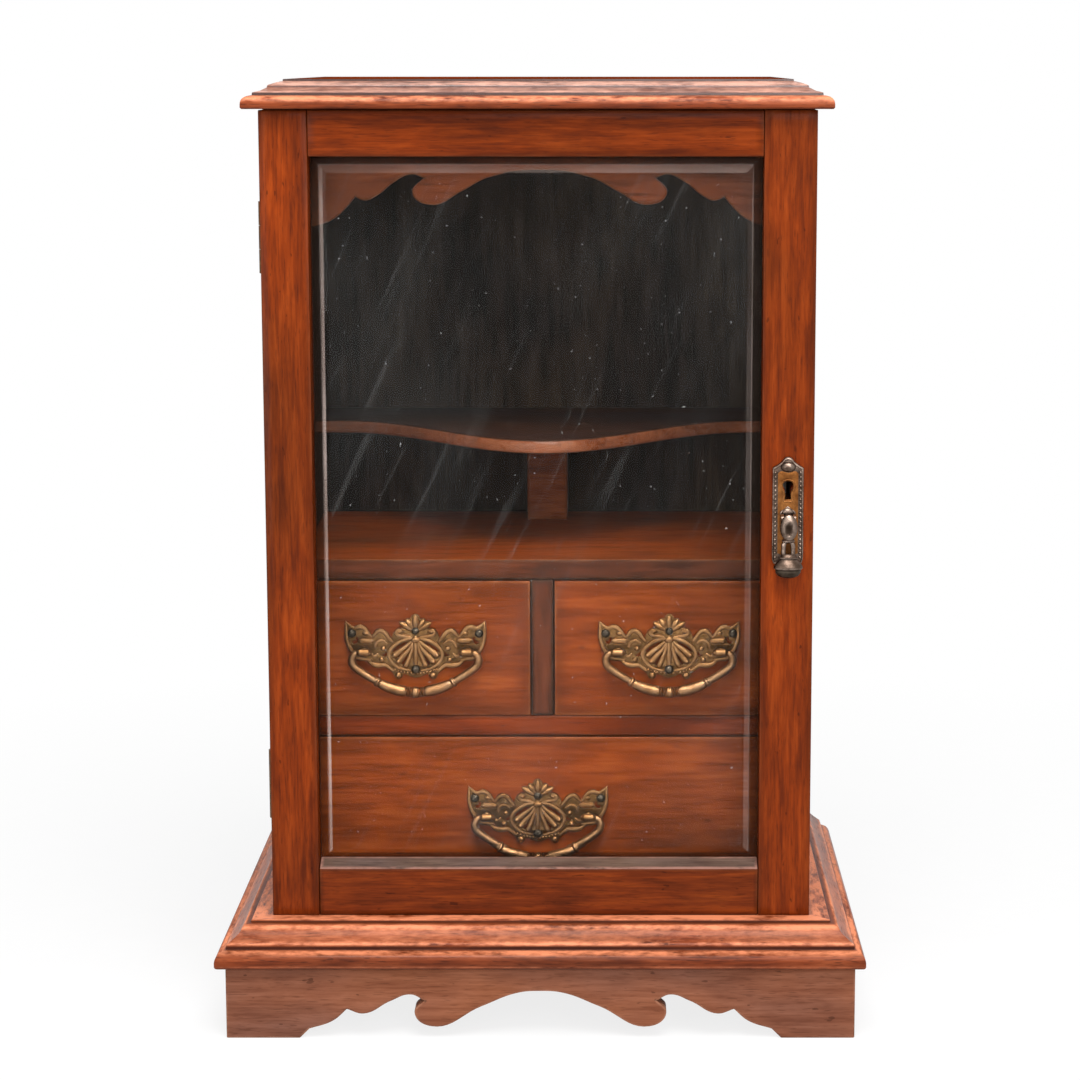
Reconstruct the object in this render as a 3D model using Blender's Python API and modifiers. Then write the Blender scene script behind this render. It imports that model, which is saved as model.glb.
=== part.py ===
"""Smokers cabinet: a glazed cupboard over three drawers, on a moulded bracket plinth.

Metres, +Z up. The front faces -Y, and the origin is on the floor under the middle of the moulded base.
"""

import math

import bmesh
import bpy
from mathutils import Vector

# Fits
SEAT = 0.0003  # left between two pieces that touch
DOOR_GAP = 0.0006  # back of the door to the front edges of the carcass
DOOR_FOOT_GAP = 0.0022  # door above the base
DOOR_HEAD_GAP = 0.0010  # door below the cornice
DRAWER_PLAY = 0.0006  # each side of a drawer
DRAWER_HEAD_GAP = 0.0010
PIN_PLAY = 0.0003  # round a pin in its hole
BOLT_PLAY = 0.0004
GLASS_PLAY = 0.0008  # edge of the glass to its rebate

# Plinth
PLINTH_WIDTH = 0.3560
PLINTH_DEPTH = 0.2565
PLINTH_HEIGHT = 0.0415
PLINTH_BOARD = 0.0120
PLINTH_BLOCK = 0.0180
SIDE_FOOT = 0.0420  # length of each foot under a side board

# The lower edge of the front apron: distance from the middle, height, and whether the edge turns a corner there
PLINTH_FRET = (
    (0.1364, 0.0000, "VECTOR"),
    (0.1310, 0.0054, "VECTOR"),
    (0.1174, 0.0102, "AUTO"),
    (0.1096, 0.0170, "VECTOR"),
    (0.1000, 0.0143, "AUTO"),
    (0.0848, 0.0217, "AUTO"),
    (0.0733, 0.0255, "AUTO"),
    (0.0658, 0.0220, "VECTOR"),
    (0.0713, 0.0149, "AUTO"),
    (0.0620, 0.0068, "AUTO"),
    (0.0333, 0.0186, "AUTO"),
    (0.0129, 0.0265, "AUTO"),
)
PLINTH_CREST = 0.0276

# The lower edge of a side board, measured from the inner corner of its foot
SIDE_FRET = (
    (0.0000, 0.0000, "VECTOR"),
    (0.0054, 0.0054, "VECTOR"),
    (0.0190, 0.0102, "AUTO"),
    (0.0268, 0.0170, "VECTOR"),
    (0.0364, 0.0143, "AUTO"),
    (0.0500, 0.0225, "VECTOR"),
)

# Moulded base board: its edge is a nose, a quirk, a cove, a roll and a small riser
BASE_THICKNESS = 0.0234
BASE_OVERHANG = 0.0055  # beyond the plinth, at the front and the sides
BASE_NOSE = (0.0060, 0.0093)  # how far in, how far up
BASE_QUIRK = (0.0015, 0.0012)
BASE_COVE = (0.0055, 0.0055)
BASE_ROLL = (0.0060, 0.0062)

# Cornice
CORNICE_THICKNESS = 0.0160
CORNICE_SIDE_OVERHANG = 0.0085  # beyond the carcass
CORNICE_FRONT_OVERHANG = 0.0100  # beyond the door
CORNICE_NOSE = (0.0060, 0.0074)
CORNICE_QUIRK = (0.0012, 0.0011)
CORNICE_COVE = (0.0073, 0.0035)
CORNICE_ROLL = (0.0075, 0.0032)

NOSE_ARRIS = 0.0008  # softened lower edge of a nose
NOSE_FLAT = 0.0032  # upright part of a nose
MOULDING_STEPS = 5  # facets in each curve of a moulding

# Carcass
CARCASS_WIDTH = 0.3060
CARCASS_HEIGHT = 0.4560
SIDE_THICKNESS = 0.0130
BACK_THICKNESS = 0.0080
BOTTOM_THICKNESS = 0.0080

# Frieze behind the top of the door
FRIEZE_THICKNESS = 0.0080
FRIEZE_SETBACK = 0.0120  # behind the front edges of the sides
FRIEZE_CREST = 0.0346  # below the underside of the cornice
FRIEZE_DRAWN_HALF = 0.1397  # half width at which its edge is drawn; it is stretched to the opening
FRIEZE_FRET = (
    (0.1265, -0.0312, "VECTOR"),
    (0.1180, -0.0282, "AUTO"),
    (0.1095, -0.0215, "AUTO"),
    (0.1035, -0.0144, "VECTOR"),
    (0.0980, -0.0166, "AUTO"),
    (0.0905, -0.0133, "AUTO"),
    (0.0820, -0.0066, "AUTO"),
    (0.0715, -0.0019, "AUTO"),
    (0.0650, -0.0040, "VECTOR"),
    (0.0713, -0.0124, "AUTO"),
    (0.0605, -0.0190, "AUTO"),
    (0.0440, -0.0115, "AUTO"),
    (0.0290, -0.0038, "AUTO"),
)

# Shelf with a serpentine front, on a block against the back
SHELF_THICKNESS = 0.0080
SHELF_SIDE_DEPTH = 0.0640
SHELF_MIDDLE_DEPTH = 0.1550
SHELF_SWELL = 0.1250  # half width of the swelling in the middle
SHELF_STEPS = 24
SUPPORT_WIDTH = 0.0250
SUPPORT_DEPTH = 0.0350
SUPPORT_HEIGHT = 0.0592

# Drawers
DRAWER_SETBACK = 0.0345  # drawer fronts behind the front edges of the sides
LONG_DRAWER_OPENING = 0.0834
SMALL_DRAWER_OPENING = 0.0812
DRAWER_RAIL = 0.0118
DRAWER_TOP = 0.0118
DIVIDER = 0.0130
DRAWER_REAR_GAP = 0.0199  # behind a closed drawer
DRAWER_FRONT = 0.0130
DRAWER_SIDE = 0.0065
DRAWER_BOTTOM = 0.0045
DRAWER_BOTTOM_RISE = 0.0040
DRAWER_SIDE_DROP = 0.0040  # top of the sides below the top of the front

# Door
DOOR_SETBACK = 0.0270  # behind the nose of the base
DOOR_THICKNESS = 0.0200
HINGE_STILE = 0.0265
LOCK_STILE = 0.0290
TOP_RAIL = 0.0246
BOTTOM_RAIL = 0.0265
GLASS_SETBACK = 0.0100
GLASS_THICKNESS = 0.0045
GLASS_REBATE = 0.0070
GLASS_BEVEL = 0.0155
GLASS_BEVEL_DEPTH = 0.0020

# Butt hinges
HINGE_HEIGHT = 0.0400
HINGE_INSET = 0.0500  # from the top and the bottom of the door
LEAF_WIDTH = 0.0125
LEAF_THICKNESS = 0.0014
KNUCKLE_RADIUS = 0.0025
KNUCKLE_PROUD = 0.0008  # axis outside the side of the carcass
HINGE_PIN_RADIUS = 0.0011

# Lock
LOCK_HEIGHT = 0.0340
LOCK_DEPTH = 0.0090
LOCK_SIDE_GAP = 0.0012  # between the case and the side of the carcass
LOCK_WIDTH = 0.0140
BOLT_LENGTH = 0.0105
BOLT_THICKNESS = 0.0030
BOLT_HEIGHT = 0.0100
BOLT_THROW = 0.0050
KEYHOLE_ABOVE_DOOR_FOOT = 0.2440
KEYHOLE_WIDTH = 0.0062
KEYHOLE_FOOT_WIDTH = 0.0036
KEYHOLE_HEIGHT = 0.0105

# Escutcheon with its drop pull
ESCUTCHEON_WIDTH = 0.0173
ESCUTCHEON_THICKNESS = 0.0020
ESCUTCHEON_ABOVE_KEYHOLE = 0.0187
ESCUTCHEON_BELOW_KEYHOLE = 0.0425
ESCUTCHEON_ARCH = 0.0062
ESCUTCHEON_BOSS_RADIUS = 0.0038
ESCUTCHEON_BOSS_PROUD = 0.0016
PULL_BELOW_KEYHOLE = 0.0155
PULL_STANDOFF = 0.0064  # axis in front of the plate
PULL_EYE_RADIUS = 0.0025
PULL_EYE_WIDTH = 0.0044
PULL_EAR = 0.0016
PULL_PIN_RADIUS = 0.0009
PULL_FLATTENING = 0.62
PULL_SIDES = 16
PULL_PROFILE = (  # radius, distance below the axis
    (0.0000, 0.0010),
    (0.0021, 0.0018),
    (0.0021, 0.0044),
    (0.0038, 0.0062),
    (0.0042, 0.0090),
    (0.0034, 0.0125),
    (0.0021, 0.0150),
    (0.0020, 0.0190),
    (0.0027, 0.0220),
    (0.0052, 0.0250),
    (0.0077, 0.0276),
    (0.0081, 0.0296),
    (0.0073, 0.0312),
    (0.0044, 0.0326),
    (0.0000, 0.0331),
)

# Bail handles
HANDLE_SPREAD = 0.1476  # between the two upper handles
HANDLE_DROP = 0.0014  # pivots below the middle of a small drawer
LONG_HANDLE_DROP = 0.0060
LONG_HANDLE_SHIFT = -0.0030
PLATE_THICKNESS = 0.0018
POST_SPAN = 0.0590
POST_RADIUS = 0.0030
BAIL_STANDOFF = 0.0065  # pivot axis in front of the drawer
BAIL_PIN_RADIUS = 0.0015
BAIL_RADIUS = 0.0019
BAIL_SIDES = 2  # bevel resolution
POST_PAST_BAIL = 0.0030
PLATE_OUTLINE = (  # right half from the top of the leaf to the foot: across, up from the pivots
    (0.0000, 0.0219, "AUTO"),
    (0.0042, 0.0194, "AUTO"),
    (0.0092, 0.0172, "VECTOR"),
    (0.0064, 0.0134, "VECTOR"),
    (0.0110, 0.0122, "AUTO"),
    (0.0145, 0.0076, "VECTOR"),
    (0.0210, 0.0126, "AUTO"),
    (0.0256, 0.0094, "VECTOR"),
    (0.0315, 0.0150, "AUTO"),
    (0.0362, 0.0134, "AUTO"),
    (0.0408, 0.0176, "VECTOR"),
    (0.0410, 0.0080, "AUTO"),
    (0.0384, 0.0010, "AUTO"),
    (0.0338, -0.0048, "AUTO"),
    (0.0268, -0.0070, "AUTO"),
    (0.0183, -0.0090, "VECTOR"),
    (0.0136, -0.0128, "VECTOR"),
    (0.0104, -0.0170, "AUTO"),
    (0.0068, -0.0134, "VECTOR"),
    (0.0000, -0.0156, "AUTO"),
)
BAIL_PATH = (  # right half from the pin inwards: across, up, radius
    (0.0269, 0.0000, BAIL_PIN_RADIUS),
    (0.0325, 0.0000, BAIL_PIN_RADIUS),
    (0.0358, -0.0014, BAIL_RADIUS),
    (0.0370, -0.0046, BAIL_RADIUS),
    (0.0352, -0.0086, BAIL_RADIUS),
    (0.0295, -0.0132, BAIL_RADIUS),
    (0.0212, -0.0186, 0.0023),
    (0.0105, -0.0224, 0.0029),
    (0.0000, -0.0238, 0.0024),
)

# Places that follow from the sizes
BASE_WIDTH = PLINTH_WIDTH + 2 * BASE_OVERHANG
BASE_DEPTH = PLINTH_DEPTH + BASE_OVERHANG
FRONT = -BASE_DEPTH / 2
BACK = BASE_DEPTH / 2
PLINTH_FRONT = FRONT + BASE_OVERHANG
BASE_BOTTOM = PLINTH_HEIGHT + SEAT
BASE_TOP = BASE_BOTTOM + BASE_THICKNESS
CARCASS_BOTTOM = BASE_TOP + SEAT
CARCASS_TOP = CARCASS_BOTTOM + CARCASS_HEIGHT
DOOR_FRONT = FRONT + DOOR_SETBACK
DOOR_BACK = DOOR_FRONT + DOOR_THICKNESS
CARCASS_FRONT = DOOR_BACK + DOOR_GAP
HALF_WIDTH = CARCASS_WIDTH / 2
INNER_HALF = HALF_WIDTH - SIDE_THICKNESS
BACK_PANEL_FRONT = BACK - BACK_THICKNESS
FLOOR_TOP = CARCASS_BOTTOM + BOTTOM_THICKNESS
RAIL_BOTTOM = FLOOR_TOP + LONG_DRAWER_OPENING
RAIL_TOP = RAIL_BOTTOM + DRAWER_RAIL
DRAWER_TOP_BOTTOM = RAIL_TOP + SMALL_DRAWER_OPENING
DRAWER_TOP_TOP = DRAWER_TOP_BOTTOM + DRAWER_TOP
DRAWER_FACE = CARCASS_FRONT + DRAWER_SETBACK
DRAWER_END = BACK_PANEL_FRONT - DRAWER_REAR_GAP
SHELF_BOTTOM = DRAWER_TOP_TOP + SUPPORT_HEIGHT
DOOR_BOTTOM = BASE_TOP + DOOR_FOOT_GAP
DOOR_TOP = CARCASS_TOP - DOOR_HEAD_GAP
SIGHT_LEFT = -HALF_WIDTH + HINGE_STILE
SIGHT_RIGHT = HALF_WIDTH - LOCK_STILE
SIGHT_BOTTOM = DOOR_BOTTOM + BOTTOM_RAIL
SIGHT_TOP = DOOR_TOP - TOP_RAIL
GLASS_FRONT = DOOR_FRONT + GLASS_SETBACK
GLASS_BACK = GLASS_FRONT + GLASS_THICKNESS
HINGE_X = -HALF_WIDTH - KNUCKLE_PROUD
HINGE_Y = DOOR_BACK + DOOR_GAP / 2
LOCK_STILE_MIDDLE = HALF_WIDTH - LOCK_STILE / 2
KEYHOLE_Z = DOOR_BOTTOM + KEYHOLE_ABOVE_DOOR_FOOT

# How a flat outline is turned: as drawn on the floor, seen from the front, or seen from the right
PLAN = (0.0, 0.0, 0.0)
FACING = (math.pi / 2, 0.0, 0.0)
SIDEWAYS = (math.pi / 2, 0.0, math.pi / 2)
ALONG_X = (0.0, math.pi / 2, 0.0)
ALONG_Y = (math.pi / 2, 0.0, 0.0)


def clear_scene():
    for old in list(bpy.data.objects):
        bpy.data.objects.remove(old)


def new_collection(name):
    collection = bpy.data.collections.new(name)
    bpy.context.scene.collection.children.link(collection)
    return collection


clear_scene()
PARTS = new_collection("smokers_cabinet")
CUTTERS = new_collection("cutters_and_additions")
CUTTERS.hide_render = True


def finish(name, colour, roughness, metallic=0.0, transmission=0.0):
    material = bpy.data.materials.new(name)
    material.use_nodes = True
    shader = material.node_tree.nodes["Principled BSDF"]
    shader.inputs["Base Color"].default_value = (*colour, 1.0)
    shader.inputs["Roughness"].default_value = roughness
    shader.inputs["Metallic"].default_value = metallic
    shader.inputs["Transmission Weight"].default_value = transmission
    return material


MAHOGANY = finish("polished_mahogany", (0.27, 0.075, 0.028), 0.32)
DARK_MAHOGANY = finish("dark_mahogany", (0.065, 0.030, 0.020), 0.55)
DRAWER_LINING = finish("drawer_lining_wood", (0.40, 0.24, 0.12), 0.60)
BRASS = finish("aged_brass", (0.50, 0.33, 0.13), 0.35, metallic=1.0)
BRONZE = finish("dark_bronze", (0.20, 0.17, 0.14), 0.40, metallic=1.0)
STEEL = finish("lock_steel", (0.30, 0.29, 0.27), 0.45, metallic=1.0)
GLASS = finish("plate_glass", (0.92, 0.95, 0.93), 0.03, transmission=1.0)


def world_place(empty):
    """Where an empty stands in the world; none of them is turned."""
    if empty.parent is None:
        return empty.location.copy()
    return empty.location + world_place(empty.parent)


def axis_empty(name, place, parent=None):
    """An empty on a joint's axis, which carries the pieces that move with it."""
    empty = bpy.data.objects.new(name, None)
    PARTS.objects.link(empty)
    hang(empty, Vector(place), parent)
    return empty


def hang(obj, place, parent):
    """Puts an object at a place in the world, under a parent."""
    obj.parent = parent
    obj.location = place - (world_place(parent) if parent else Vector())


def piece(name, mesh, place, turn, material, parent):
    obj = bpy.data.objects.new(name, mesh)
    if material:
        mesh.materials.append(material)
        PARTS.objects.link(obj)
    else:
        obj.display_type = "WIRE"
        obj.hide_render = True
        CUTTERS.objects.link(obj)
    obj.rotation_euler = turn
    hang(obj, Vector(place), parent)
    return obj


def mesh_from(bm, name):
    bmesh.ops.recalc_face_normals(bm, faces=bm.faces)
    mesh = bpy.data.meshes.new(name)
    bm.to_mesh(mesh)
    bm.free()
    return mesh


def board(name, x, y, z, material=None, parent=None):
    """A squared board between pairs of faces; with no material it is a cutter or an addition."""
    bm = bmesh.new()
    bmesh.ops.create_cube(bm, size=1.0)
    bmesh.ops.scale(bm, vec=(x[1] - x[0], y[1] - y[0], z[1] - z[0]), verts=bm.verts)
    middle = (sum(x) / 2, sum(y) / 2, sum(z) / 2)
    return piece(name, mesh_from(bm, name), middle, PLAN, material, parent)


def rod(name, radius, length, middle, turn, material=None, parent=None, sides=16):
    bm = bmesh.new()
    bmesh.ops.create_cone(
        bm, cap_ends=True, segments=sides, radius1=radius, radius2=radius, depth=length
    )
    mesh = mesh_from(bm, name)
    mesh.shade_smooth()
    mesh.set_sharp_from_angle(angle=math.radians(40))
    return piece(name, mesh, middle, turn, material, parent)


def outline_mesh(name, knots, thickness, steps):
    """A flat closed outline given its thickness, as a welded mesh. Its knots are smooth (AUTO) or corners (VECTOR)."""
    data = bpy.data.curves.new(name, "CURVE")
    data.dimensions = "2D"
    data.fill_mode = "BOTH"
    data.extrude = thickness / 2
    data.resolution_u = steps
    spline = data.splines.new("BEZIER")
    spline.bezier_points.add(len(knots) - 1)
    for point, (across, up, kind) in zip(spline.bezier_points, knots):
        point.co = (across, up, 0.0)
        point.handle_left_type = kind
        point.handle_right_type = kind
    spline.use_cyclic_u = True
    curve = bpy.data.objects.new(name, data)
    CUTTERS.objects.link(curve)
    return welded_mesh(curve, name)


def welded_mesh(obj, name):
    """The evaluated object as a mesh with its loose seams welded; the object is removed."""
    bpy.context.view_layer.update()
    mesh = bpy.data.meshes.new_from_object(
        obj.evaluated_get(bpy.context.evaluated_depsgraph_get())
    )
    bpy.data.objects.remove(obj)
    bm = bmesh.new()
    bm.from_mesh(mesh)
    bpy.data.meshes.remove(mesh)
    bmesh.ops.remove_doubles(bm, verts=bm.verts, dist=1e-6)
    return mesh_from(bm, name)


def outline(name, knots, thickness, turn, middle, material=None, parent=None, steps=4):
    mesh = outline_mesh(name, knots, thickness, steps)
    return piece(name, mesh, middle, turn, material, parent)


def corners(points):
    """Knots that all turn a corner."""
    return [(across, up, "VECTOR") for across, up in points]


def mirrored(half):
    """The whole of an outline from its right half, which runs from a middle knot to a middle knot."""
    left = [(-across, up, kind) for across, up, kind in reversed(half[1:-1])]
    return list(half) + left


def stepped_block(name, rings, place, turn, material, parent=None):
    """A block raised ring by ring: each ring is a rectangle (left, right, near, far, height)."""
    bm = bmesh.new()
    bmesh.ops.create_cube(bm, size=1.0)
    lower = [v for v in bm.verts if v.co.z < 0]
    upper = [v for v in bm.verts if v.co.z > 0]
    put_ring(lower, rings[0])
    put_ring(upper, rings[1])
    for ring in rings[2:]:
        top = [f for f in bm.faces if all(v in upper for v in f.verts)]
        raised = bmesh.ops.extrude_face_region(bm, geom=top)["geom"]
        bmesh.ops.delete(bm, geom=top, context="FACES_ONLY")
        upper = [v for v in raised if isinstance(v, bmesh.types.BMVert)]
        put_ring(upper, ring)
    return piece(name, mesh_from(bm, name), place, turn, material, parent)


def put_ring(verts, ring):
    left, right, near, far, height = ring
    for vert in verts:
        across = left if vert.co.x < 0 else right
        along = near if vert.co.y < 0 else far
        vert.co = (across, along, height)


def add_boolean(obj, other, operation):
    modifier = obj.modifiers.new(other.name, "BOOLEAN")
    modifier.operation = operation
    modifier.object = other
    modifier.solver = "EXACT"


def cut(obj, cutter):
    add_boolean(obj, cutter, "DIFFERENCE")


def join(obj, addition):
    add_boolean(obj, addition, "UNION")


def arc(start, end, steps):
    return [math.radians(start + (end - start) * i / steps) for i in range(steps + 1)]


def moulded_edge(thickness, nose, quirk, cove, roll):
    """How far the edge is set back at each height, from the bottom of a moulded board to its top."""
    profile = [(NOSE_ARRIS, 0.0), (0.0, NOSE_ARRIS)]
    for angle in arc(0, 90, MOULDING_STEPS):
        rise = (nose[1] - NOSE_FLAT) * math.sin(angle)
        profile.append((nose[0] * (1 - math.cos(angle)), NOSE_FLAT + rise))
    setback, height = nose[0], nose[1] + quirk[1]
    profile.append((setback, height))
    setback += quirk[0]
    for angle in arc(0, 90, MOULDING_STEPS):
        profile.append((setback + cove[0] * math.sin(angle), height + cove[1] * (1 - math.cos(angle))))
    setback += cove[0]
    height += cove[1]
    for angle in arc(0, 90, MOULDING_STEPS)[1:]:
        profile.append((setback + roll[0] * (1 - math.cos(angle)), height + roll[1] * math.sin(angle)))
    setback += roll[0]
    profile.append((setback, thickness))
    return profile


def moulded_board(name, half_width, front, back, bottom, profile, material):
    rings = [(-half_width + s, half_width - s, front + s, back, h) for s, h in profile]
    return stepped_block(name, rings, (0.0, 0.0, bottom), PLAN, material)


def fretted_outline(half_width, height, fret, crest):
    """An upright board with a scrolled lower edge, drawn from the front with its foot at zero."""
    half = [(0.0, height, "VECTOR"), (half_width, height, "VECTOR"), (half_width, 0.0, "VECTOR")]
    half += list(fret)
    half.append((0.0, crest, "AUTO"))
    return mirrored(half)


def mitre(obj, thickness, side):
    """Moves the inner arris of a standing end back by the board's thickness."""
    mesh = obj.data
    far = max(side * v.co.x for v in mesh.vertices)
    for vert in mesh.vertices:
        if side * vert.co.x > far - 1e-6 and vert.co.z < 0:
            vert.co.x -= side * thickness


def build_plinth():
    half = PLINTH_WIDTH / 2
    middle_y = PLINTH_FRONT + PLINTH_BOARD / 2
    front = outline(
        "plinth_front",
        fretted_outline(half, PLINTH_HEIGHT, PLINTH_FRET, PLINTH_CREST),
        PLINTH_BOARD,
        FACING,
        (0.0, middle_y, 0.0),
        MAHOGANY,
    )
    mitre(front, PLINTH_BOARD, 1)
    mitre(front, PLINTH_BOARD, -1)
    side_front = PLINTH_FRONT + 2 * SEAT
    length = BACK - side_front
    rear = [(length - SIDE_FOOT - along, up, kind) for along, up, kind in reversed(SIDE_FRET)]
    edge = [(SIDE_FOOT + along, up, kind) for along, up, kind in SIDE_FRET] + rear
    knots = corners([(length, 0.0), (length, PLINTH_HEIGHT), (0.0, PLINTH_HEIGHT), (0.0, 0.0)]) + edge
    for name, side in (("plinth_left", -1), ("plinth_right", 1)):
        place = (side * (half - PLINTH_BOARD / 2), side_front, 0.0)
        apron = outline(name, knots, PLINTH_BOARD, SIDEWAYS, place, MAHOGANY)
        for vert in apron.data.vertices:
            if vert.co.x < 1e-6 and side * vert.co.z < 0:
                vert.co.x += PLINTH_BOARD
    inner = half - PLINTH_BOARD - SEAT
    board("plinth_back", (-inner, inner), (BACK - PLINTH_BOARD, BACK), (0.0, PLINTH_HEIGHT), DARK_MAHOGANY)
    near = PLINTH_FRONT + PLINTH_BOARD + SEAT
    for name, side in (("plinth_block_left", -1), ("plinth_block_right", 1)):
        x = sorted((side * inner, side * (inner - PLINTH_BLOCK)))
        board(name, x, (near, near + PLINTH_BLOCK), (0.0, PLINTH_HEIGHT), DARK_MAHOGANY)


def build_mouldings():
    base_profile = moulded_edge(BASE_THICKNESS, BASE_NOSE, BASE_QUIRK, BASE_COVE, BASE_ROLL)
    moulded_board("base_board", BASE_WIDTH / 2, FRONT, BACK, BASE_BOTTOM, base_profile, MAHOGANY)
    cornice_profile = moulded_edge(
        CORNICE_THICKNESS, CORNICE_NOSE, CORNICE_QUIRK, CORNICE_COVE, CORNICE_ROLL
    )
    moulded_board(
        "cornice",
        HALF_WIDTH + CORNICE_SIDE_OVERHANG,
        DOOR_FRONT - CORNICE_FRONT_OVERHANG,
        BACK,
        CARCASS_TOP + SEAT,
        cornice_profile,
        MAHOGANY,
    )


def build_carcass():
    depth = (CARCASS_FRONT, BACK)
    height = (CARCASS_BOTTOM, CARCASS_TOP)
    sides = {}
    for name, side in (("side_left", -1), ("side_right", 1)):
        x = sorted((side * HALF_WIDTH, side * INNER_HALF))
        sides[side] = board(name, x, depth, height, MAHOGANY)
    inside = (-INNER_HALF + SEAT, INNER_HALF - SEAT)
    to_back = BACK_PANEL_FRONT - SEAT
    board("back_panel", inside, (BACK_PANEL_FRONT, BACK), height, DARK_MAHOGANY)
    board("carcass_bottom", inside, (CARCASS_FRONT, to_back), (CARCASS_BOTTOM, FLOOR_TOP), DARK_MAHOGANY)
    board("drawer_rail", inside, (DRAWER_FACE, to_back), (RAIL_BOTTOM, RAIL_TOP), MAHOGANY)
    half = DIVIDER / 2
    upright = (RAIL_TOP + SEAT, DRAWER_TOP_BOTTOM - SEAT)
    board("drawer_divider", (-half, half), (DRAWER_FACE, to_back), upright, MAHOGANY)
    top = (DRAWER_TOP_BOTTOM, DRAWER_TOP_TOP)
    board("drawer_top_board", inside, (DRAWER_FACE, to_back), top, MAHOGANY)
    build_shelf(to_back)
    build_frieze()
    return sides


def build_frieze():
    end = INNER_HALF - SEAT
    stretch = end / FRIEZE_DRAWN_HALF
    half = [(0.0, FRIEZE_CREST, "VECTOR"), (end, FRIEZE_CREST, "VECTOR"), (end, FRIEZE_FRET[0][1], "VECTOR")]
    half += [(across * stretch, up, kind) for across, up, kind in FRIEZE_FRET]
    half.append((0.0, 0.0, "AUTO"))
    place = (0.0, CARCASS_FRONT + FRIEZE_SETBACK + FRIEZE_THICKNESS / 2, CARCASS_TOP - FRIEZE_CREST)
    outline("frieze", mirrored(half), FRIEZE_THICKNESS, FACING, place, MAHOGANY)


def build_shelf(to_back):
    half = SUPPORT_WIDTH / 2
    support_z = (DRAWER_TOP_TOP + SEAT, SHELF_BOTTOM - SEAT)
    board("shelf_support", (-half, half), (to_back - SUPPORT_DEPTH, to_back), support_z, MAHOGANY)
    end = INNER_HALF - SEAT
    points = [(end, 0.0), (-end, 0.0), (-end, -SHELF_SIDE_DEPTH)]
    swell = SHELF_MIDDLE_DEPTH - SHELF_SIDE_DEPTH
    for i in range(SHELF_STEPS + 1):
        share = 2 * i / SHELF_STEPS - 1
        forward = swell * (1 + math.cos(math.pi * share)) / 2
        points.append((SHELF_SWELL * share, -SHELF_SIDE_DEPTH - forward))
    points.append((end, -SHELF_SIDE_DEPTH))
    place = (0.0, to_back, SHELF_BOTTOM + SHELF_THICKNESS / 2)
    outline("shelf", corners(points), SHELF_THICKNESS, PLAN, place, MAHOGANY)


def frame_section(width, rebated_right):
    """Plan of a door member: full in front of the glass, narrower behind it. Its outer face is at zero."""
    step = GLASS_SETBACK
    lean = width - GLASS_REBATE
    points = [(0.0, 0.0), (width, 0.0), (width, step), (lean, step), (lean, DOOR_THICKNESS), (0.0, DOOR_THICKNESS)]
    if not rebated_right:
        points = [(-across, along) for across, along in points]
    return corners(points)


def build_door(door):
    height = DOOR_TOP - DOOR_BOTTOM
    middle_z = (DOOR_TOP + DOOR_BOTTOM) / 2
    stiles = {}
    for name, side, width in (("hinge_stile", -1, HINGE_STILE), ("lock_stile", 1, LOCK_STILE)):
        place = (side * HALF_WIDTH, DOOR_FRONT, middle_z)
        stiles[side] = outline(name, frame_section(width, side < 0), height, PLAN, place, MAHOGANY, door)
    length = SIGHT_RIGHT - SIGHT_LEFT - 2 * SEAT
    middle_x = (SIGHT_LEFT + SIGHT_RIGHT) / 2
    for name, width, z, up in (("top_rail", TOP_RAIL, DOOR_TOP, -1), ("bottom_rail", BOTTOM_RAIL, DOOR_BOTTOM, 1)):
        section = [(along, up * across, kind) for across, along, kind in frame_section(width, True)]
        outline(name, section, length, SIDEWAYS, (middle_x, DOOR_FRONT, z), MAHOGANY, door)
    build_glazing(door)
    return stiles


def build_glazing(door):
    lap = GLASS_REBATE - GLASS_PLAY
    left, right = SIGHT_LEFT - lap, SIGHT_RIGHT + lap
    bottom, top = SIGHT_BOTTOM - lap, SIGHT_TOP + lap
    half_x, half_z = (right - left) / 2, (top - bottom) / 2
    rim = GLASS_THICKNESS - SEAT - GLASS_BEVEL_DEPTH
    rings = [
        (-half_x, half_x, -half_z, half_z, 0.0),
        (-half_x, half_x, -half_z, half_z, rim),
        (
            -half_x + GLASS_BEVEL,
            half_x - GLASS_BEVEL,
            -half_z + GLASS_BEVEL,
            half_z - GLASS_BEVEL,
            GLASS_THICKNESS - SEAT,
        ),
    ]
    place = ((left + right) / 2, GLASS_BACK, (bottom + top) / 2)
    stepped_block("glass_pane", rings, place, FACING, GLASS, door)
    y = (GLASS_BACK + SEAT, DOOR_BACK)
    wall = GLASS_REBATE - SEAT
    across = (SIGHT_LEFT - wall + SEAT, SIGHT_RIGHT + wall - SEAT)
    board("bead_top", across, y, (SIGHT_TOP, SIGHT_TOP + wall), MAHOGANY, door)
    board("bead_bottom", across, y, (SIGHT_BOTTOM - wall, SIGHT_BOTTOM), MAHOGANY, door)
    up = (SIGHT_BOTTOM + SEAT, SIGHT_TOP - SEAT)
    board("bead_left", (SIGHT_LEFT - wall, SIGHT_LEFT), y, up, MAHOGANY, door)
    board("bead_right", (SIGHT_RIGHT, SIGHT_RIGHT + wall), y, up, MAHOGANY, door)


def leaf_outline(behind):
    """Plan of a hinge leaf rolled round the axis; behind is 1 for the carcass's leaf and -1 for the door's."""
    near = DOOR_GAP / 2
    far = near + LEAF_THICKNESS
    start = math.degrees(math.asin(far / KNUCKLE_RADIUS))
    end = 360 + math.degrees(math.asin(near / KNUCKLE_RADIUS))
    points = [(LEAF_WIDTH, near), (LEAF_WIDTH, far)]
    for angle in arc(start, end, 18):
        points.append((KNUCKLE_RADIUS * math.cos(angle), KNUCKLE_RADIUS * math.sin(angle)))
    return corners([(across, behind * along) for across, along in points])


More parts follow.
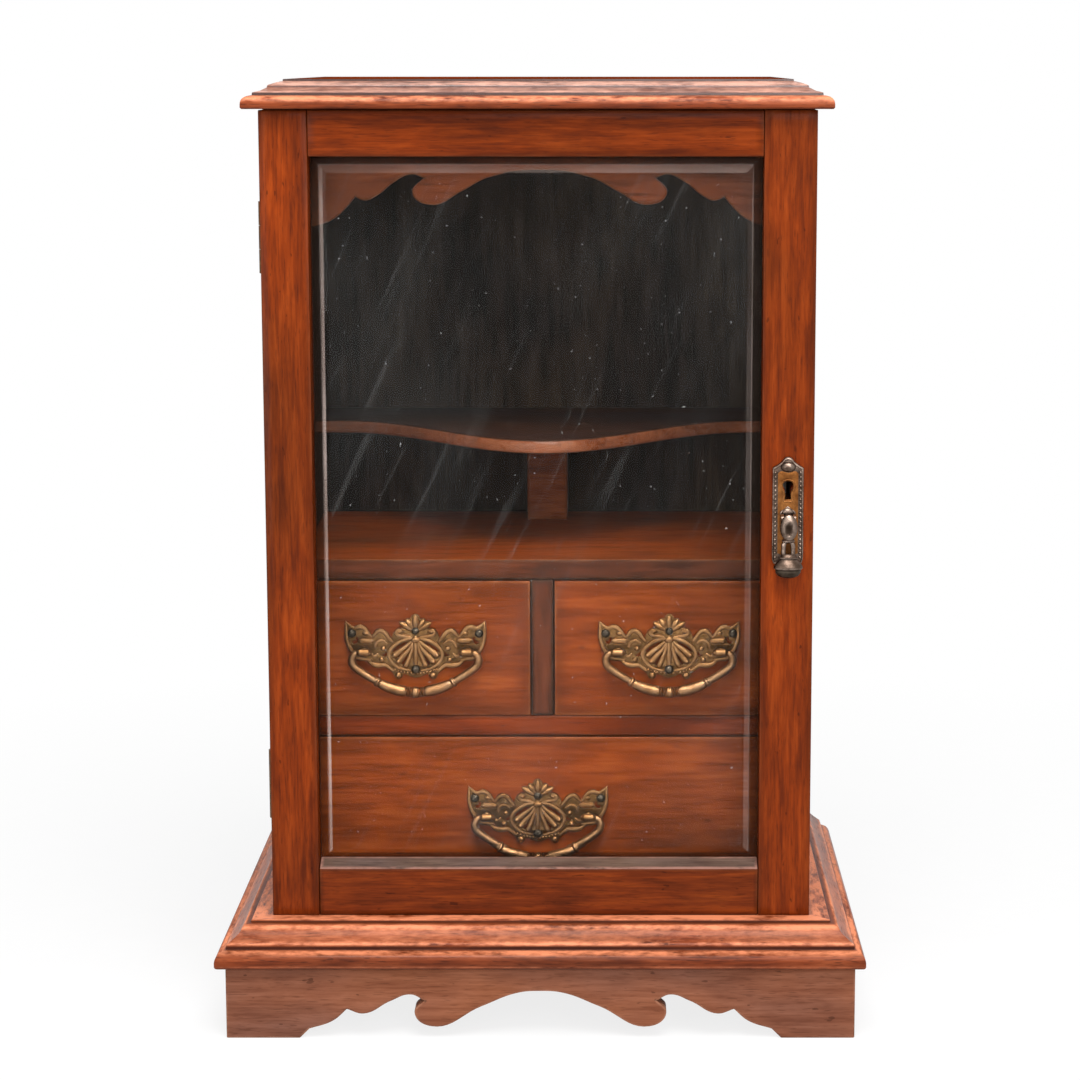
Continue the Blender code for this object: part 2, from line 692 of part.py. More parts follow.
def build_hinge(name, middle_z, door, side_left, stile):
    near = DOOR_GAP / 2 + LEAF_THICKNESS + SEAT
    wide = KNUCKLE_RADIUS + SEAT
    left, shoulder, end = -2 * wide, wide, LEAF_WIDTH + SEAT
    half = [(left, wide), (shoulder, wide), (shoulder, near), (end, near)]
    plan = corners(half + [(across, -along) for across, along in reversed(half)])
    place = (HINGE_X, HINGE_Y, middle_z)
    mortise = outline(f"{name}_mortise", plan, HINGE_HEIGHT + 2 * SEAT, PLAN, place)
    cut(side_left, mortise)
    cut(stile, mortise)
    bore = rod(
        f"{name}_bore", HINGE_PIN_RADIUS + PIN_PLAY, 2 * HINGE_HEIGHT, place, PLAN
    )
    third = HINGE_HEIGHT / 3
    reach = (HINGE_X + left, HINGE_X + KNUCKLE_RADIUS + SEAT)
    round_axis = (HINGE_Y - wide, HINGE_Y + wide)
    half_third = third / 2
    outer = HINGE_HEIGHT / 2 + SEAT
    carcass_leaf = outline(
        f"{name}_carcass_leaf", leaf_outline(1), HINGE_HEIGHT, PLAN, place, BRASS
    )
    z = (middle_z - half_third - SEAT / 2, middle_z + half_third + SEAT / 2)
    cut(carcass_leaf, board(f"{name}_middle_notch", reach, round_axis, z))
    cut(carcass_leaf, bore)
    door_leaf = outline(
        f"{name}_door_leaf", leaf_outline(-1), HINGE_HEIGHT, PLAN, place, BRASS, door
    )
    for end_name, sign in (("lower", -1), ("upper", 1)):
        z = sorted((middle_z + sign * (half_third - SEAT / 2), middle_z + sign * outer))
        cut(door_leaf, board(f"{name}_{end_name}_notch", reach, round_axis, z))
    cut(door_leaf, bore)
    rod(f"{name}_pin", HINGE_PIN_RADIUS, HINGE_HEIGHT, place, PLAN, BRASS)


def build_lock(door, lock_stile, side_right):
    right = INNER_HALF - LOCK_SIDE_GAP
    x = (right - LOCK_WIDTH, right)
    y = (DOOR_BACK + SEAT, DOOR_BACK + SEAT + LOCK_DEPTH)
    z = (KEYHOLE_Z - LOCK_HEIGHT / 2, KEYHOLE_Z + LOCK_HEIGHT / 2)
    case = board("lock_case", x, y, z, STEEL, door)
    middle_y = sum(y) / 2
    half_y, half_z = BOLT_THICKNESS / 2, BOLT_HEIGHT / 2
    slide = axis_empty("lock_bolt_slide", (right, middle_y, KEYHOLE_Z), door)
    bolt_y = (middle_y - half_y, middle_y + half_y)
    bolt_z = (KEYHOLE_Z - half_z, KEYHOLE_Z + half_z)
    board("lock_bolt", (right - BOLT_LENGTH, right), bolt_y, bolt_z, BRASS, slide)
    slot_y = (bolt_y[0] - BOLT_PLAY, bolt_y[1] + BOLT_PLAY)
    slot_z = (bolt_z[0] - BOLT_PLAY, bolt_z[1] + BOLT_PLAY)
    slot_x = (right - BOLT_LENGTH - BOLT_PLAY, INNER_HALF + BOLT_THROW)
    slot = board("bolt_slot", slot_x, slot_y, slot_z)
    cut(case, slot)
    cut(side_right, slot)
    wide, narrow = KEYHOLE_WIDTH / 2, KEYHOLE_FOOT_WIDTH / 2
    top, foot = KEYHOLE_HEIGHT / 2, -KEYHOLE_HEIGHT / 2
    half = [(0.0, top, "AUTO"), (wide, top - wide / 2, "AUTO"), (narrow, 0.0, "AUTO"), (narrow, foot, "VECTOR")]
    knots = mirrored(half + [(0.0, foot, "VECTOR")])
    through = 3 * DOOR_THICKNESS
    keyhole = outline("keyhole", knots, through, FACING, (LOCK_STILE_MIDDLE, DOOR_FRONT, KEYHOLE_Z))
    cut(lock_stile, keyhole)
    build_escutcheon(door, keyhole)


def build_escutcheon(door, keyhole):
    half = ESCUTCHEON_WIDTH / 2
    top, foot = ESCUTCHEON_ABOVE_KEYHOLE, -ESCUTCHEON_BELOW_KEYHOLE
    shoulder = top - ESCUTCHEON_ARCH
    hip = foot + ESCUTCHEON_ARCH / 2
    knots = mirrored(
        [
            (0.0, top, "AUTO"),
            (half / 2, top - ESCUTCHEON_ARCH / 3, "AUTO"),
            (half, shoulder, "VECTOR"),
            (half, hip, "VECTOR"),
            (0.0, foot, "AUTO"),
        ]
    )
    back = DOOR_FRONT - SEAT
    face = back - ESCUTCHEON_THICKNESS
    place = (LOCK_STILE_MIDDLE, back - ESCUTCHEON_THICKNESS / 2, KEYHOLE_Z)
    plate = outline("escutcheon", knots, ESCUTCHEON_THICKNESS, FACING, place, BRONZE, door)
    boss_z = KEYHOLE_Z + shoulder
    flatten = ESCUTCHEON_BOSS_PROUD / ESCUTCHEON_BOSS_RADIUS
    boss = ball("escutcheon_boss", ESCUTCHEON_BOSS_RADIUS, flatten, (LOCK_STILE_MIDDLE, face, boss_z))
    join(plate, boss)
    axis = Vector((LOCK_STILE_MIDDLE, face - PULL_STANDOFF, KEYHOLE_Z - PULL_BELOW_KEYHOLE))
    inner = PULL_EYE_WIDTH / 2 + SEAT
    tip = axis.y - PULL_EYE_RADIUS
    for name, side in (("left", -1), ("right", 1)):
        x = sorted((axis.x + side * inner, axis.x + side * (inner + PULL_EAR)))
        z = (axis.z - PULL_EYE_RADIUS, axis.z + PULL_EYE_RADIUS)
        join(plate, board(f"pull_ear_{name}", x, (tip, back - ESCUTCHEON_THICKNESS / 2), z))
    bore = rod("pull_bore", PULL_PIN_RADIUS + PIN_PLAY, 2 * ESCUTCHEON_WIDTH, axis, ALONG_X)
    cut(plate, bore)
    cut(plate, keyhole)
    pin_length = 2 * (inner + PULL_EAR)
    rod("drop_pull_pin", PULL_PIN_RADIUS, pin_length, axis, ALONG_X, BRONZE, door)
    build_drop_pull(axis, door, bore)


def ball(name, radius, flatten, place):
    """A rounded boss, flattened front to back."""
    bm = bmesh.new()
    bmesh.ops.create_uvsphere(bm, u_segments=16, v_segments=8, radius=radius)
    bmesh.ops.scale(bm, vec=(1.0, flatten, 1.0), verts=bm.verts)
    return piece(name, mesh_from(bm, name), place, PLAN, None, None)


def build_drop_pull(axis, door, bore):
    mesh = bpy.data.meshes.new("drop_pull_profile")
    points = [(radius, 0.0, -drop) for radius, drop in PULL_PROFILE]
    mesh.from_pydata(points, [(i, i + 1) for i in range(len(points) - 1)], [])
    turned = bpy.data.objects.new("drop_pull_profile", mesh)
    CUTTERS.objects.link(turned)
    screw = turned.modifiers.new("turned", "SCREW")
    screw.steps = PULL_SIDES
    screw.render_steps = PULL_SIDES
    screw.use_merge_vertices = True
    screw.merge_threshold = 1e-5
    pendant = welded_mesh(turned, "drop_pull")
    for vert in pendant.vertices:
        vert.co.y *= PULL_FLATTENING
    pendant.shade_smooth()
    swing = axis_empty("drop_pull_axis", axis, door)
    pull = piece("drop_pull", pendant, axis, PLAN, BRONZE, swing)
    join(pull, rod("drop_pull_eye", PULL_EYE_RADIUS, PULL_EYE_WIDTH, axis, ALONG_X))
    cut(pull, bore)


def build_drawer(name, x, z, handle_x, handle_drop):
    """A drawer in an opening between two pairs of faces, with its handle."""
    left, right = x[0] + DRAWER_PLAY, x[1] - DRAWER_PLAY
    bottom, top = z[0] + SEAT, z[1] - DRAWER_HEAD_GAP
    slide = axis_empty(f"{name}_slide", (sum(x) / 2, DRAWER_FACE, sum(z) / 2))
    behind = DRAWER_FACE + DRAWER_FRONT + SEAT
    end = DRAWER_END
    face = (DRAWER_FACE, DRAWER_FACE + DRAWER_FRONT)
    board(f"{name}_front", (left, right), face, (bottom, top), MAHOGANY, slide)
    side_z = (bottom, top - DRAWER_SIDE_DROP)
    board(f"{name}_left_side", (left, left + DRAWER_SIDE), (behind, end), side_z, DRAWER_LINING, slide)
    board(f"{name}_right_side", (right - DRAWER_SIDE, right), (behind, end), side_z, DRAWER_LINING, slide)
    inside = (left + DRAWER_SIDE + SEAT, right - DRAWER_SIDE - SEAT)
    bottom_top = bottom + DRAWER_BOTTOM_RISE + DRAWER_BOTTOM
    bottom_z = (bottom + DRAWER_BOTTOM_RISE, bottom_top)
    board(f"{name}_bottom", inside, (behind, end), bottom_z, DRAWER_LINING, slide)
    back_z = (bottom_top + SEAT, top - DRAWER_SIDE_DROP)
    board(f"{name}_back", inside, (end - DRAWER_SIDE, end), back_z, DRAWER_LINING, slide)
    build_handle(name, handle_x, sum(z) / 2 - handle_drop, slide)


def build_handle(name, x, z, slide):
    back = DRAWER_FACE - SEAT
    face = back - PLATE_THICKNESS
    place = (x, back - PLATE_THICKNESS / 2, z)
    plate = outline(
        f"{name}_handle_plate", mirrored(PLATE_OUTLINE), PLATE_THICKNESS, FACING, place, BRASS, slide, steps=3
    )
    axis_y = DRAWER_FACE - BAIL_STANDOFF
    tip = axis_y - POST_PAST_BAIL
    root = back - PLATE_THICKNESS / 2
    for post, side in (("left", -1), ("right", 1)):
        middle = (x + side * POST_SPAN / 2, (tip + root) / 2, z)
        join(plate, rod(f"{name}_{post}_post", POST_RADIUS, root - tip, middle, ALONG_Y, sides=12))
    pin_reach = 2 * (POST_SPAN / 2 + 2 * POST_RADIUS)
    pin_hole = rod(
        f"{name}_bail_bore", BAIL_PIN_RADIUS + PIN_PLAY, pin_reach, (x, axis_y, z), ALONG_X, sides=12
    )
    cut(plate, pin_hole)
    swing = axis_empty(f"{name}_bail_axis", (x, axis_y, z), slide)
    data = bpy.data.curves.new(f"{name}_bail", "CURVE")
    data.dimensions = "3D"
    data.bevel_depth = 1.0
    data.bevel_resolution = BAIL_SIDES
    data.use_fill_caps = True
    data.resolution_u = 3
    left = [(-across, up, radius) for across, up, radius in BAIL_PATH]
    path = left + list(reversed(BAIL_PATH[:-1]))
    spline = data.splines.new("BEZIER")
    spline.bezier_points.add(len(path) - 1)
    for point, (across, up, radius) in zip(spline.bezier_points, path):
        point.co = (across, 0.0, up)
        point.radius = radius
        point.handle_left_type = "AUTO"
        point.handle_right_type = "AUTO"
    data.materials.append(BRASS)
    bail = bpy.data.objects.new(f"{name}_bail", data)
    PARTS.objects.link(bail)
    hang(bail, Vector((x, axis_y, z)), swing)


def build_drawers():
    inside = DIVIDER / 2
    small_z = (RAIL_TOP, DRAWER_TOP_BOTTOM)
    spread = HANDLE_SPREAD / 2
    build_drawer("left_drawer", (-INNER_HALF, -inside), small_z, -spread, HANDLE_DROP)
    build_drawer("right_drawer", (inside, INNER_HALF), small_z, spread, HANDLE_DROP)
    long_z = (FLOOR_TOP, RAIL_BOTTOM)
    build_drawer("long_drawer", (-INNER_HALF, INNER_HALF), long_z, LONG_HANDLE_SHIFT, LONG_HANDLE_DROP)


def build_cabinet():
    build_plinth()
    build_mouldings()
    sides = build_carcass()
    door = axis_empty("door_axis", (HINGE_X, HINGE_Y, DOOR_BOTTOM))
    stiles = build_door(door)
    half = HINGE_HEIGHT / 2
    build_hinge("upper_hinge", DOOR_TOP - HINGE_INSET - half, door, sides[-1], stiles[-1])
    build_hinge("lower_hinge", DOOR_BOTTOM + HINGE_INSET + half, door, sides[-1], stiles[-1])
    build_lock(door, stiles[1], sides[1])
    build_drawers()


build_cabinet()
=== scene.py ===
"""The look of the smokers cabinet: polished wood, bevelled glass and cast brass fittings."""

import math

import bmesh
import bpy
from mathutils import Matrix, Vector


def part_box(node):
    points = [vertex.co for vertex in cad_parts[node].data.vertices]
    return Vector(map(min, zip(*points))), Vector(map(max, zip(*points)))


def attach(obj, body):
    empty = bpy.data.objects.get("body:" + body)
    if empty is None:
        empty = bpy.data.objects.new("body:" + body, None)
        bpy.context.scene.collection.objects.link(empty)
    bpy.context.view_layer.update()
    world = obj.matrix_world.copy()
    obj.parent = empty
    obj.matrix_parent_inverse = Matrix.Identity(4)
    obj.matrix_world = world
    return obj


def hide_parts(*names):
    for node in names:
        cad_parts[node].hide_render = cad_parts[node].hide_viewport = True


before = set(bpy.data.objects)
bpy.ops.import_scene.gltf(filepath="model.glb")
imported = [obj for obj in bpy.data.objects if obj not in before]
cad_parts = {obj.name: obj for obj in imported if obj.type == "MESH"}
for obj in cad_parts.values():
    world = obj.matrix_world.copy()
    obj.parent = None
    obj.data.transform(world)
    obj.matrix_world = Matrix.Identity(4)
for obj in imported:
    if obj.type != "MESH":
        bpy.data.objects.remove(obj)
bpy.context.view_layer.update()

MM = 0.001
NEAR = 1e-4  # metres within which two places count as the same
MERGE = 1e-5
TINY = 1e-6
FLAT_ANGLE = math.radians(1.0)  # angles between faces: merged, left by a cut, eased, darkened by dirt and painted shade
STRAY_ANGLE = 0.01
ARRIS_ANGLE = math.radians(35)
QUIRK_ANGLE = -0.5
WOOD_SMOOTH = 38  # degrees
CAST_SMOOTH = 42
WIDE_FACE = 6.5  # millimetres from which a face of a board gets a margin
FRET_STEPS = 10  # points from knot to knot of an outline
PLATE_STEPS = 5
CORNER = "VECTOR"  # a sharp knot of an outline; the others are smooth


# Places of the fittings and cuts, in metres

HANDLE_PLACES = {  # middle of the bail's axis on each drawer
    "left": (-0.0738, -0.0554, 0.2079),
    "right": (0.0738, -0.0554, 0.2079),
    "long": (-0.0030, -0.0554, 0.1092),
}
KEYHOLE_PLACE = (0.1385, -0.1063, 0.3114)  # on the face of the escutcheon
KEYHOLE_CUT = 0.0078  # half the height of the part of the stile that is cut apart for the keyhole
KEYHOLE_CLEAR = 0.0075  # reach round the keyhole without wear
STILE_STRIP = 0.006  # strips at the stile's edges that carry its wear
PULL_AXIS = (0.1385, -0.1127, 0.2959)
HINGE_CUTS = (0.1171, 0.1577, 0.4302, 0.4708)  # heights of the recesses in the carcass sides
BOLT_CUTS = (0.3060, 0.3168)
SHELF_END_SHADE = (-0.06, -0.12, 0.6)  # start and end of the painted shade at the shelf's left end, and its most


# Shapes, in millimetres

BOARDS = {  # figure's number, easing of the arrises, margin that carries wear and painted highlight, dirt and painted shade
    "plinth_front": (5.3, 0.5, 1.2),
    "plinth_left": (6.7, 0.5, 1.5),
    "plinth_right": (8.2, 0.5, 1.5),
    "side_left": (9.4, 0.3, 2.5),
    "side_right": (11.9, 0.3, 2.5),
    "frieze": (13.6, 0.5, 1.2),
    "shelf": (15.1, 2.0, 1.2),
    "shelf_support": (16.6, 0.7, 2.5),
    "drawer_top_board": (17.3, 0.7, 2.5),
    "drawer_divider": (18.8, 0.7, 2.5),
    "drawer_rail": (19.9, 0.7, 2.5),
    "hinge_stile": (21.2, 0.45, 8.0),
    "lock_stile": (22.7, 0.45, 8.0),
    "top_rail": (24.1, 0.45, 7.0),
    "bottom_rail": (25.5, 0.9, 3.0),
    # The drawer fronts' wide margins darken towards their edges: painted shade from the door's frame.
    "left_drawer_front": (27.3, 0.6, 14.0),
    "right_drawer_front": (29.2, 0.6, 14.0),
    "long_drawer_front": (31.1, 0.6, 14.0),
}
INNER_REACH = 1.2  # depth of the black skin inside the carcass: painted shade on its sides' inner faces
SILL_RISE = (3.3, -1.2)  # back and front edge of the sloping sill, from the rail's upper edge
DOOR_FOOT_EASE = 2.0  # how far the door's visible foot and head come into the gaps below and above it
DOOR_HEAD_EASE = 0.6

GLASS_BEVEL = 15.5
GLASS_BEVEL_DEPTH = 2.0
FILM_FRONT = 0.05  # how far the two faces of a film stand off the glass
FILM_BACK = 0.02
# Painted light on the bevels, rows outwards from their inner edge: place, cover at the lower or left end and
# at the other, share of pale painted reflection against dark painted shade
BEVEL_PAINTED_LIGHT = {
    "left": (
        (2.1, 0.06, 0.04, 1.0), (2.5, 0.30, 0.14, 1.0), (3.5, 0.30, 0.14, 1.0),
        (4.1, 0.08, 0.06, 0.8), (4.6, 0.26, 0.38, 0.0), (9.2, 0.42, 0.55, 0.0),
    ),
    "right": (
        (0.6, 0.02, 0.01, 1.0), (1.2, 0.06, 0.012, 1.0), (3.2, 0.05, 0.012, 1.0),
        (4.2, 0.28, 0.34, 0.0), (9.2, 0.48, 0.58, 0.0),
    ),
    "top": (
        (0.0, 0.07, 0.16, 1.0), (1.6, 0.06, 0.14, 1.0), (4.2, 0.04, 0.08, 0.9),
        (5.0, 0.50, 0.50, 0.0), (9.2, 0.70, 0.70, 0.0),
    ),
    "foot": ((3.4, 0.02, 0.02, 0.0), (4.6, 0.45, 0.45, 0.0), (9.2, 0.60, 0.60, 0.0)),
}

TOP_FINISH = 2  # finishes of a moulding: its edge first, then its top, then the steps behind its nose, which carry a pale painted reflection
STEP_FINISH = 3
CORNICE_NOSE = 5.0
BASE_PROFILE = (  # moulded edge of the base from its foot: in, up, rubbing (wear and painted highlight), darkening (dirt and painted shade)
    (1.4, 0, 0, 0.5), (0.5, 0.6, 0.1, 0.3), (0, 1.6, 0.45, 0), (0, 2.6, 0.1, 0.15),
    (0, 4, 0, 0.2), (0.3, 5.6, 0, 0.05), (1, 7.2, 0.25, 0), (2.2, 8.5, 0.8, 0),
    (3.6, 9.2, 1, 0), (4.8, 9.6, 0.9, 0), (5.7, 9.8, 0.4, 0.4), (6.1, 10.2, 0, 1),
    (6.2, 11.4, 0, 0.9), (6.3, 12.2, 0.5, 0.3), (6.7, 13, 1, 0), (7.6, 13.6, 0.85, 0),
    (9, 14.5, 0.5, 0.05), (11, 16, 0.5, 0.05), (12.6, 17.4, 0.5, 0.05),
    (13.6, 18.6, 0.55, 0.1), (14, 19.4, 0.85, 0), (14.6, 20.5, 1, 0),
    (15.5, 21.3, 0.9, 0), (16.6, 21.7, 0.3, 0.3), (18.4, 22, 0.1, 0.7), (18.9, 22.1, 0, 1),
    (19, 22.8, 0.3, 0.6), (19.3, 23.4, 0.9, 0), (22, 23.4, 1, 0), (26, 23.4, 1, 0),
    (27.5, 23.4, 0.9, 0), (29, 23.4, 0.5, 0),
)
CORNICE_PROFILE = (  # the same for the cornice
    (0.8, 0, 0, 0.7), (0, 0.8, 0, 0.4), (0, 2.4, 0, 0.2), (0.1, 3.4, 0.3, 0),
    (0.4, 4.6, 0.8, 0), (1.2, 5.8, 1, 0), (2.6, 6.7, 1, 0), (4.2, 7.2, 0.7, 0),
    (5.5, 7.4, 0.2, 0.4), (5.9, 7.5, 0, 1), (6, 8.7, 0, 0.9), (6.4, 9, 0.9, 0),
    (9.8, 9.8, 0.8, 0), (13, 11.4, 0.7, 0), (13.3, 11.6, 0.2, 0.5), (13.4, 12.4, 0.2, 0.5),
    (13.8, 12.9, 1, 0), (17.6, 14.2, 0.9, 0), (20.8, 14.9, 0.7, 0), (21.1, 15, 0, 1),
    (21.2, 16, 0, 1), (24, 16, 0.2, 0.4), (40, 16, 0.1, 0),
)

PLINTH_OUTLINE = (  # right half from the middle of the upper edge: across, up
    (0, 41.5, CORNER), (178, 41.5, CORNER), (178, 0, CORNER), (136.4, 0, CORNER),
    (131, 5.4, CORNER), (117.4, 10.2), (109.6, 17, CORNER), (100, 14.3), (84.8, 21.7),
    (73.3, 25.5), (65.8, 22, CORNER), (71.3, 14.9), (62, 6.8), (33.3, 18.6), (12.9, 26.5),
    (0, 27.6),
)
FRIEZE_OUTLINE = (  # the same for the frieze
    (0, 521.5, CORNER), (139.7, 521.5, CORNER), (139.7, 455.7, CORNER), (126.5, 455.7, CORNER),
    (118, 458.7), (109.5, 465.4), (103.5, 472.5, CORNER), (98, 470.3), (90.5, 473.6),
    (82, 480.3), (71.5, 485), (65, 482.9, CORNER), (71.3, 474.5), (60.5, 467.9),
    (44, 475.4), (29, 483.1), (0, 486.9),
)

PLATE_SHEET = (1.6, 0.14)  # thickness, rounding of the front arris
PLATE_OUTLINE = (  # right half from the top of the leaf to the foot: across, up
    (0, 21.9), (2.2, 20.6), (3, 18.9, CORNER), (5.2, 19.1), (5.9, 17.5, CORNER),
    (9.4, 17.2, CORNER), (6.4, 13.4, CORNER), (11, 13), (14.3, 7.4, CORNER), (18.2, 12),
    (21.6, 13.2), (25.6, 9.2, CORNER), (29.2, 14.2), (32.6, 15.6), (36.2, 14.2),
    (40.8, 17.8, CORNER), (41.2, 9), (39.4, 2.4), (34.9, -4.9), (26.8, -6.6), (23.8, -9.4),
    (18.3, -9.4, CORNER), (13.6, -12.8, CORNER), (10.2, -17), (6.8, -13.4, CORNER), (3.4, -15),
    (0, -15.9),
)
PLATE_PIERCINGS = (  # right half: the gaps between the ribs of the fan, and two in the wing
    ((4.8, 4.9), (9.2, 3.6), (13.3, 0.2), (12.6, -1.5), (8.6, 0.9), (5.2, 2.9)),
    ((5, 1.2), (8.2, -1), (11.2, -4), (10.3, -5.4), (7.4, -3), (4.9, -0.9)),
    ((3.7, -1.7), (5, -2.8), (8.4, -7.2), (7, -8.5), (5, -7.2), (3.6, -4)),
    ((16.9, -0.6), (18.2, -1.8), (19.6, -2.2), (18.6, -3.2), (17, -3)),
    ((34, 8.4), (35.2, 6.4), (36.8, 6), (36.2, 4.2), (34.4, 4.4)),
)
LINE_BOLDNESS = 1.25
PLATE_LINES = (  # right half of the raised work: across, up, radius
    ((2.6, 7.6, 0.9), (5.6, 7, 1), (10.2, 5, 1.05), (14.4, 1.2, 1), (15.6, -2, 0.95),
     (14.6, -5.4, 0.9), (11.8, -8.6, 0.85), (8, -10.6, 0.8), (3.4, -11.6, 0.7)),
    ((3, 8.2, 0.8), (6.4, 8.8, 0.95), (9.8, 9.4, 1), (11, 11, 1.05), (9.8, 12.4, 1.05),
     (8.2, 11.8, 1)),
    ((13.8, 6, 0.8), (15.6, 8, 1), (17.8, 11, 1.15), (20.6, 12.2, 1.15), (22.8, 11, 1),
     (24.8, 8.6, 0.7)),
    ((25.8, 8.6, 0.7), (27.6, 11, 1), (29.8, 13.6, 1.15), (32.4, 14.5, 1.15), (35.6, 13.6, 1),
     (37.8, 14.8, 0.85), (40.2, 17, 0.45)),
    ((40.3, 16.2, 0.5), (40.2, 12, 0.8), (40.2, 8.4, 0.9), (38.8, 3.2, 1), (36.4, -1, 0.95),
     (34.2, -3.9, 0.8), (30, -4.6, 0.85), (26.4, -5.4, 0.8)),
    ((24.8, 6.2, 1), (25.6, 6.2, 1.5), (31.6, 6.2, 1.5), (32.4, 6.2, 1)),
    ((27.2, -6, 0.7), (24.6, -7.8, 1.2), (21.2, -8.4, 1.35), (17.8, -8.2, 1.1), (15.6, -9.6, 0.95),
     (13, -11.6, 0.85)),
    ((16.6, 4.6, 0.6), (19.2, 6.4, 0.8), (22.4, 5.2, 0.8), (23.4, 2.4, 0.7)),
    ((22, -1.8, 0.6), (24.2, -3.2, 0.8), (25.6, -1.6, 0.6)),
)
PLATE_LEAVES = (  # right half of the broad low lobes: the fan's ribs and the leaf at the top
    ((1.5, 6.4, 0.8), (4.6, 3.5, 1.25), (8.6, 0.4, 1.7), (12, -2.4, 2)),
    ((1.1, 5.8, 0.8), (3.9, 0.9, 1.25), (7.2, -2.8, 1.7), (9.8, -6, 2)),
    ((0.8, 5.4, 0.8), (2.5, -0.6, 1.15), (4.2, -5.2, 1.5), (5.6, -8.4, 1.7)),
    ((0, 7.4, 1.7), (0, 3, 1.6), (0, -4, 1.5), (0, -8.6, 1.2)),
    ((2, 12.6, 1), (5.2, 14.4, 1.7), (8.4, 16.3, 0.8)),
    ((1.4, 13.2, 1), (3.3, 16, 1.9), (4.7, 17.8, 1.1)),
    ((0, 12.8, 1.2), (0, 16.5, 2.2), (0, 19.4, 1.6)),
)
PLATE_BOSSES = (  # right half: across, up, half width, half height, proud
    (18.7, 1.5, 1.7, 1.6, 1.5), (19.8, -5, 1.6, 1.5, 1.4), (9.2, 11.4, 1.1, 1.1, 1.3),
    (12.4, -2.6, 1.6, 1.5, 1.6), (10.2, -6.2, 1.6, 1.5, 1.6), (9.9, -14.4, 2.1, 1.9, 1.5),
    (29, 10.6, 2, 1.5, 1.2),
)
FAN_KNOB = (0, 6.6, 3, 1.9, 1.6)
PIN_PROUD = 0.62  # of its radius
PIN_OUT = 0.6
PLATE_PINS = ((0, 12, 2.3), (0, -10.8, 2.6), (37, 10.6, 2.5), (-37, 10.6, 2.5))
PLATE_BEAD_ROW = ((-12, -10.9), (-8, -12.4), (0, -13.6), (8, -12.4), (12, -10.9))
PLATE_BEADS = (0.85, 1.85)  # radius, pitch
KNUCKLE = ((26.8, 0, 1.9), (27.4, 0, 2.3), (30, 0, 2.15), (32.4, 0, 2.3), (33, 0, 1.9))
KNUCKLE_FOOT = (29.9, 0, 3.3, 2.7, 3)

BAIL_OUT = 4.4  # axis of the bail in front of the handle's plate
BAIL_LINE = (  # right half from the pin inwards: across, up, radius
    (26.9, 0, 1.5), (33, 0, 1.5), (35.4, -0.9, 1.9), (36.8, -3.4, 2.2), (36.6, -6.2, 2.3),
    (34.9, -8.8, 2.3), (29.3, -12.9, 2.3), (24.4, -15.9, 2.2), (23.2, -16.6, 2.1),
    (22.5, -17.1, 2.9), (21.7, -17.6, 3), (21, -18, 2.2), (20.2, -18.5, 2.7),
    (16, -20.4, 3.1), (11, -22, 3.3), (6.5, -22.9, 3.2), (5.2, -23.1, 2.5), (4.5, -23.2, 3.3),
    (3.8, -23.25, 2.4), (3, -23.3, 3.3), (2.3, -23.35, 2.5), (1.4, -23.45, 3.3),
    (0, -23.5, 3.4),
)

ESCUTCHEON_SHEET = (2, 0.2)
PANEL_SHEET = (0.5, 0.06)
PANEL_OUT = 0.3
ESCUTCHEON_OUTLINE = (  # right half from the top of the arch to the foot
    (0, 18.6), (2, 17.9), (3.7, 15.9), (6.2, 14), (8.6, 12.5, CORNER), (8.6, -39.4, CORNER),
    (5.2, -41.7), (0, -42.4),
)
PANEL_OUTLINE = (
    (0, 9.8), (4.2, 10.6), (5.7, 9.4, CORNER), (5.7, -35.6, CORNER), (0, -37.6),
)
KEYHOLE_OUTLINE = (
    (0, 5.2), (2.3, 4.4), (3, 2.1), (2.5, 0.3), (1.8, -1), (1.75, -5.2, CORNER),
)
ESCUTCHEON_LINES = (  # right half: across, up, radius
    ((0, 17.8, 0.75), (1.7, 17.1, 0.75), (3.2, 15.3, 0.75), (5.8, 13.3, 0.75), (8, 12.1, 0.7)),
    ((8.1, 12, 0.5), (8.15, 0, 0.5), (8.15, -20, 0.5), (8.1, -39.2, 0.5), (5, -41.2, 0.5),
     (0, -41.9, 0.5)),
    ((0, 6, 0.4), (2.7, 5.1, 0.4), (3.7, 2.1, 0.4), (3.1, 0, 0.4), (2.5, -1.4, 0.4), (2.5, -6, 0.4),
     (0, -6.2, 0.4)),
    ((0, -9.4, 0.5), (1.2, -10.6, 0.7), (3.4, -12.2, 0.8), (4, -13.6, 0.5)),
)
KEYHOLE_RIM = 2  # the line that lies on the panel
ARCH_BOSS = (0, 13, 4.3, 2.9, 2.6)
LEAF_BOSS = (0, -12.4, 3.4, 2.5, 1.5)
ESCUTCHEON_BEAD_ROW = (7, 9.8, -38)  # across, top, foot
ESCUTCHEON_BEADS = (0.95, 2.5)

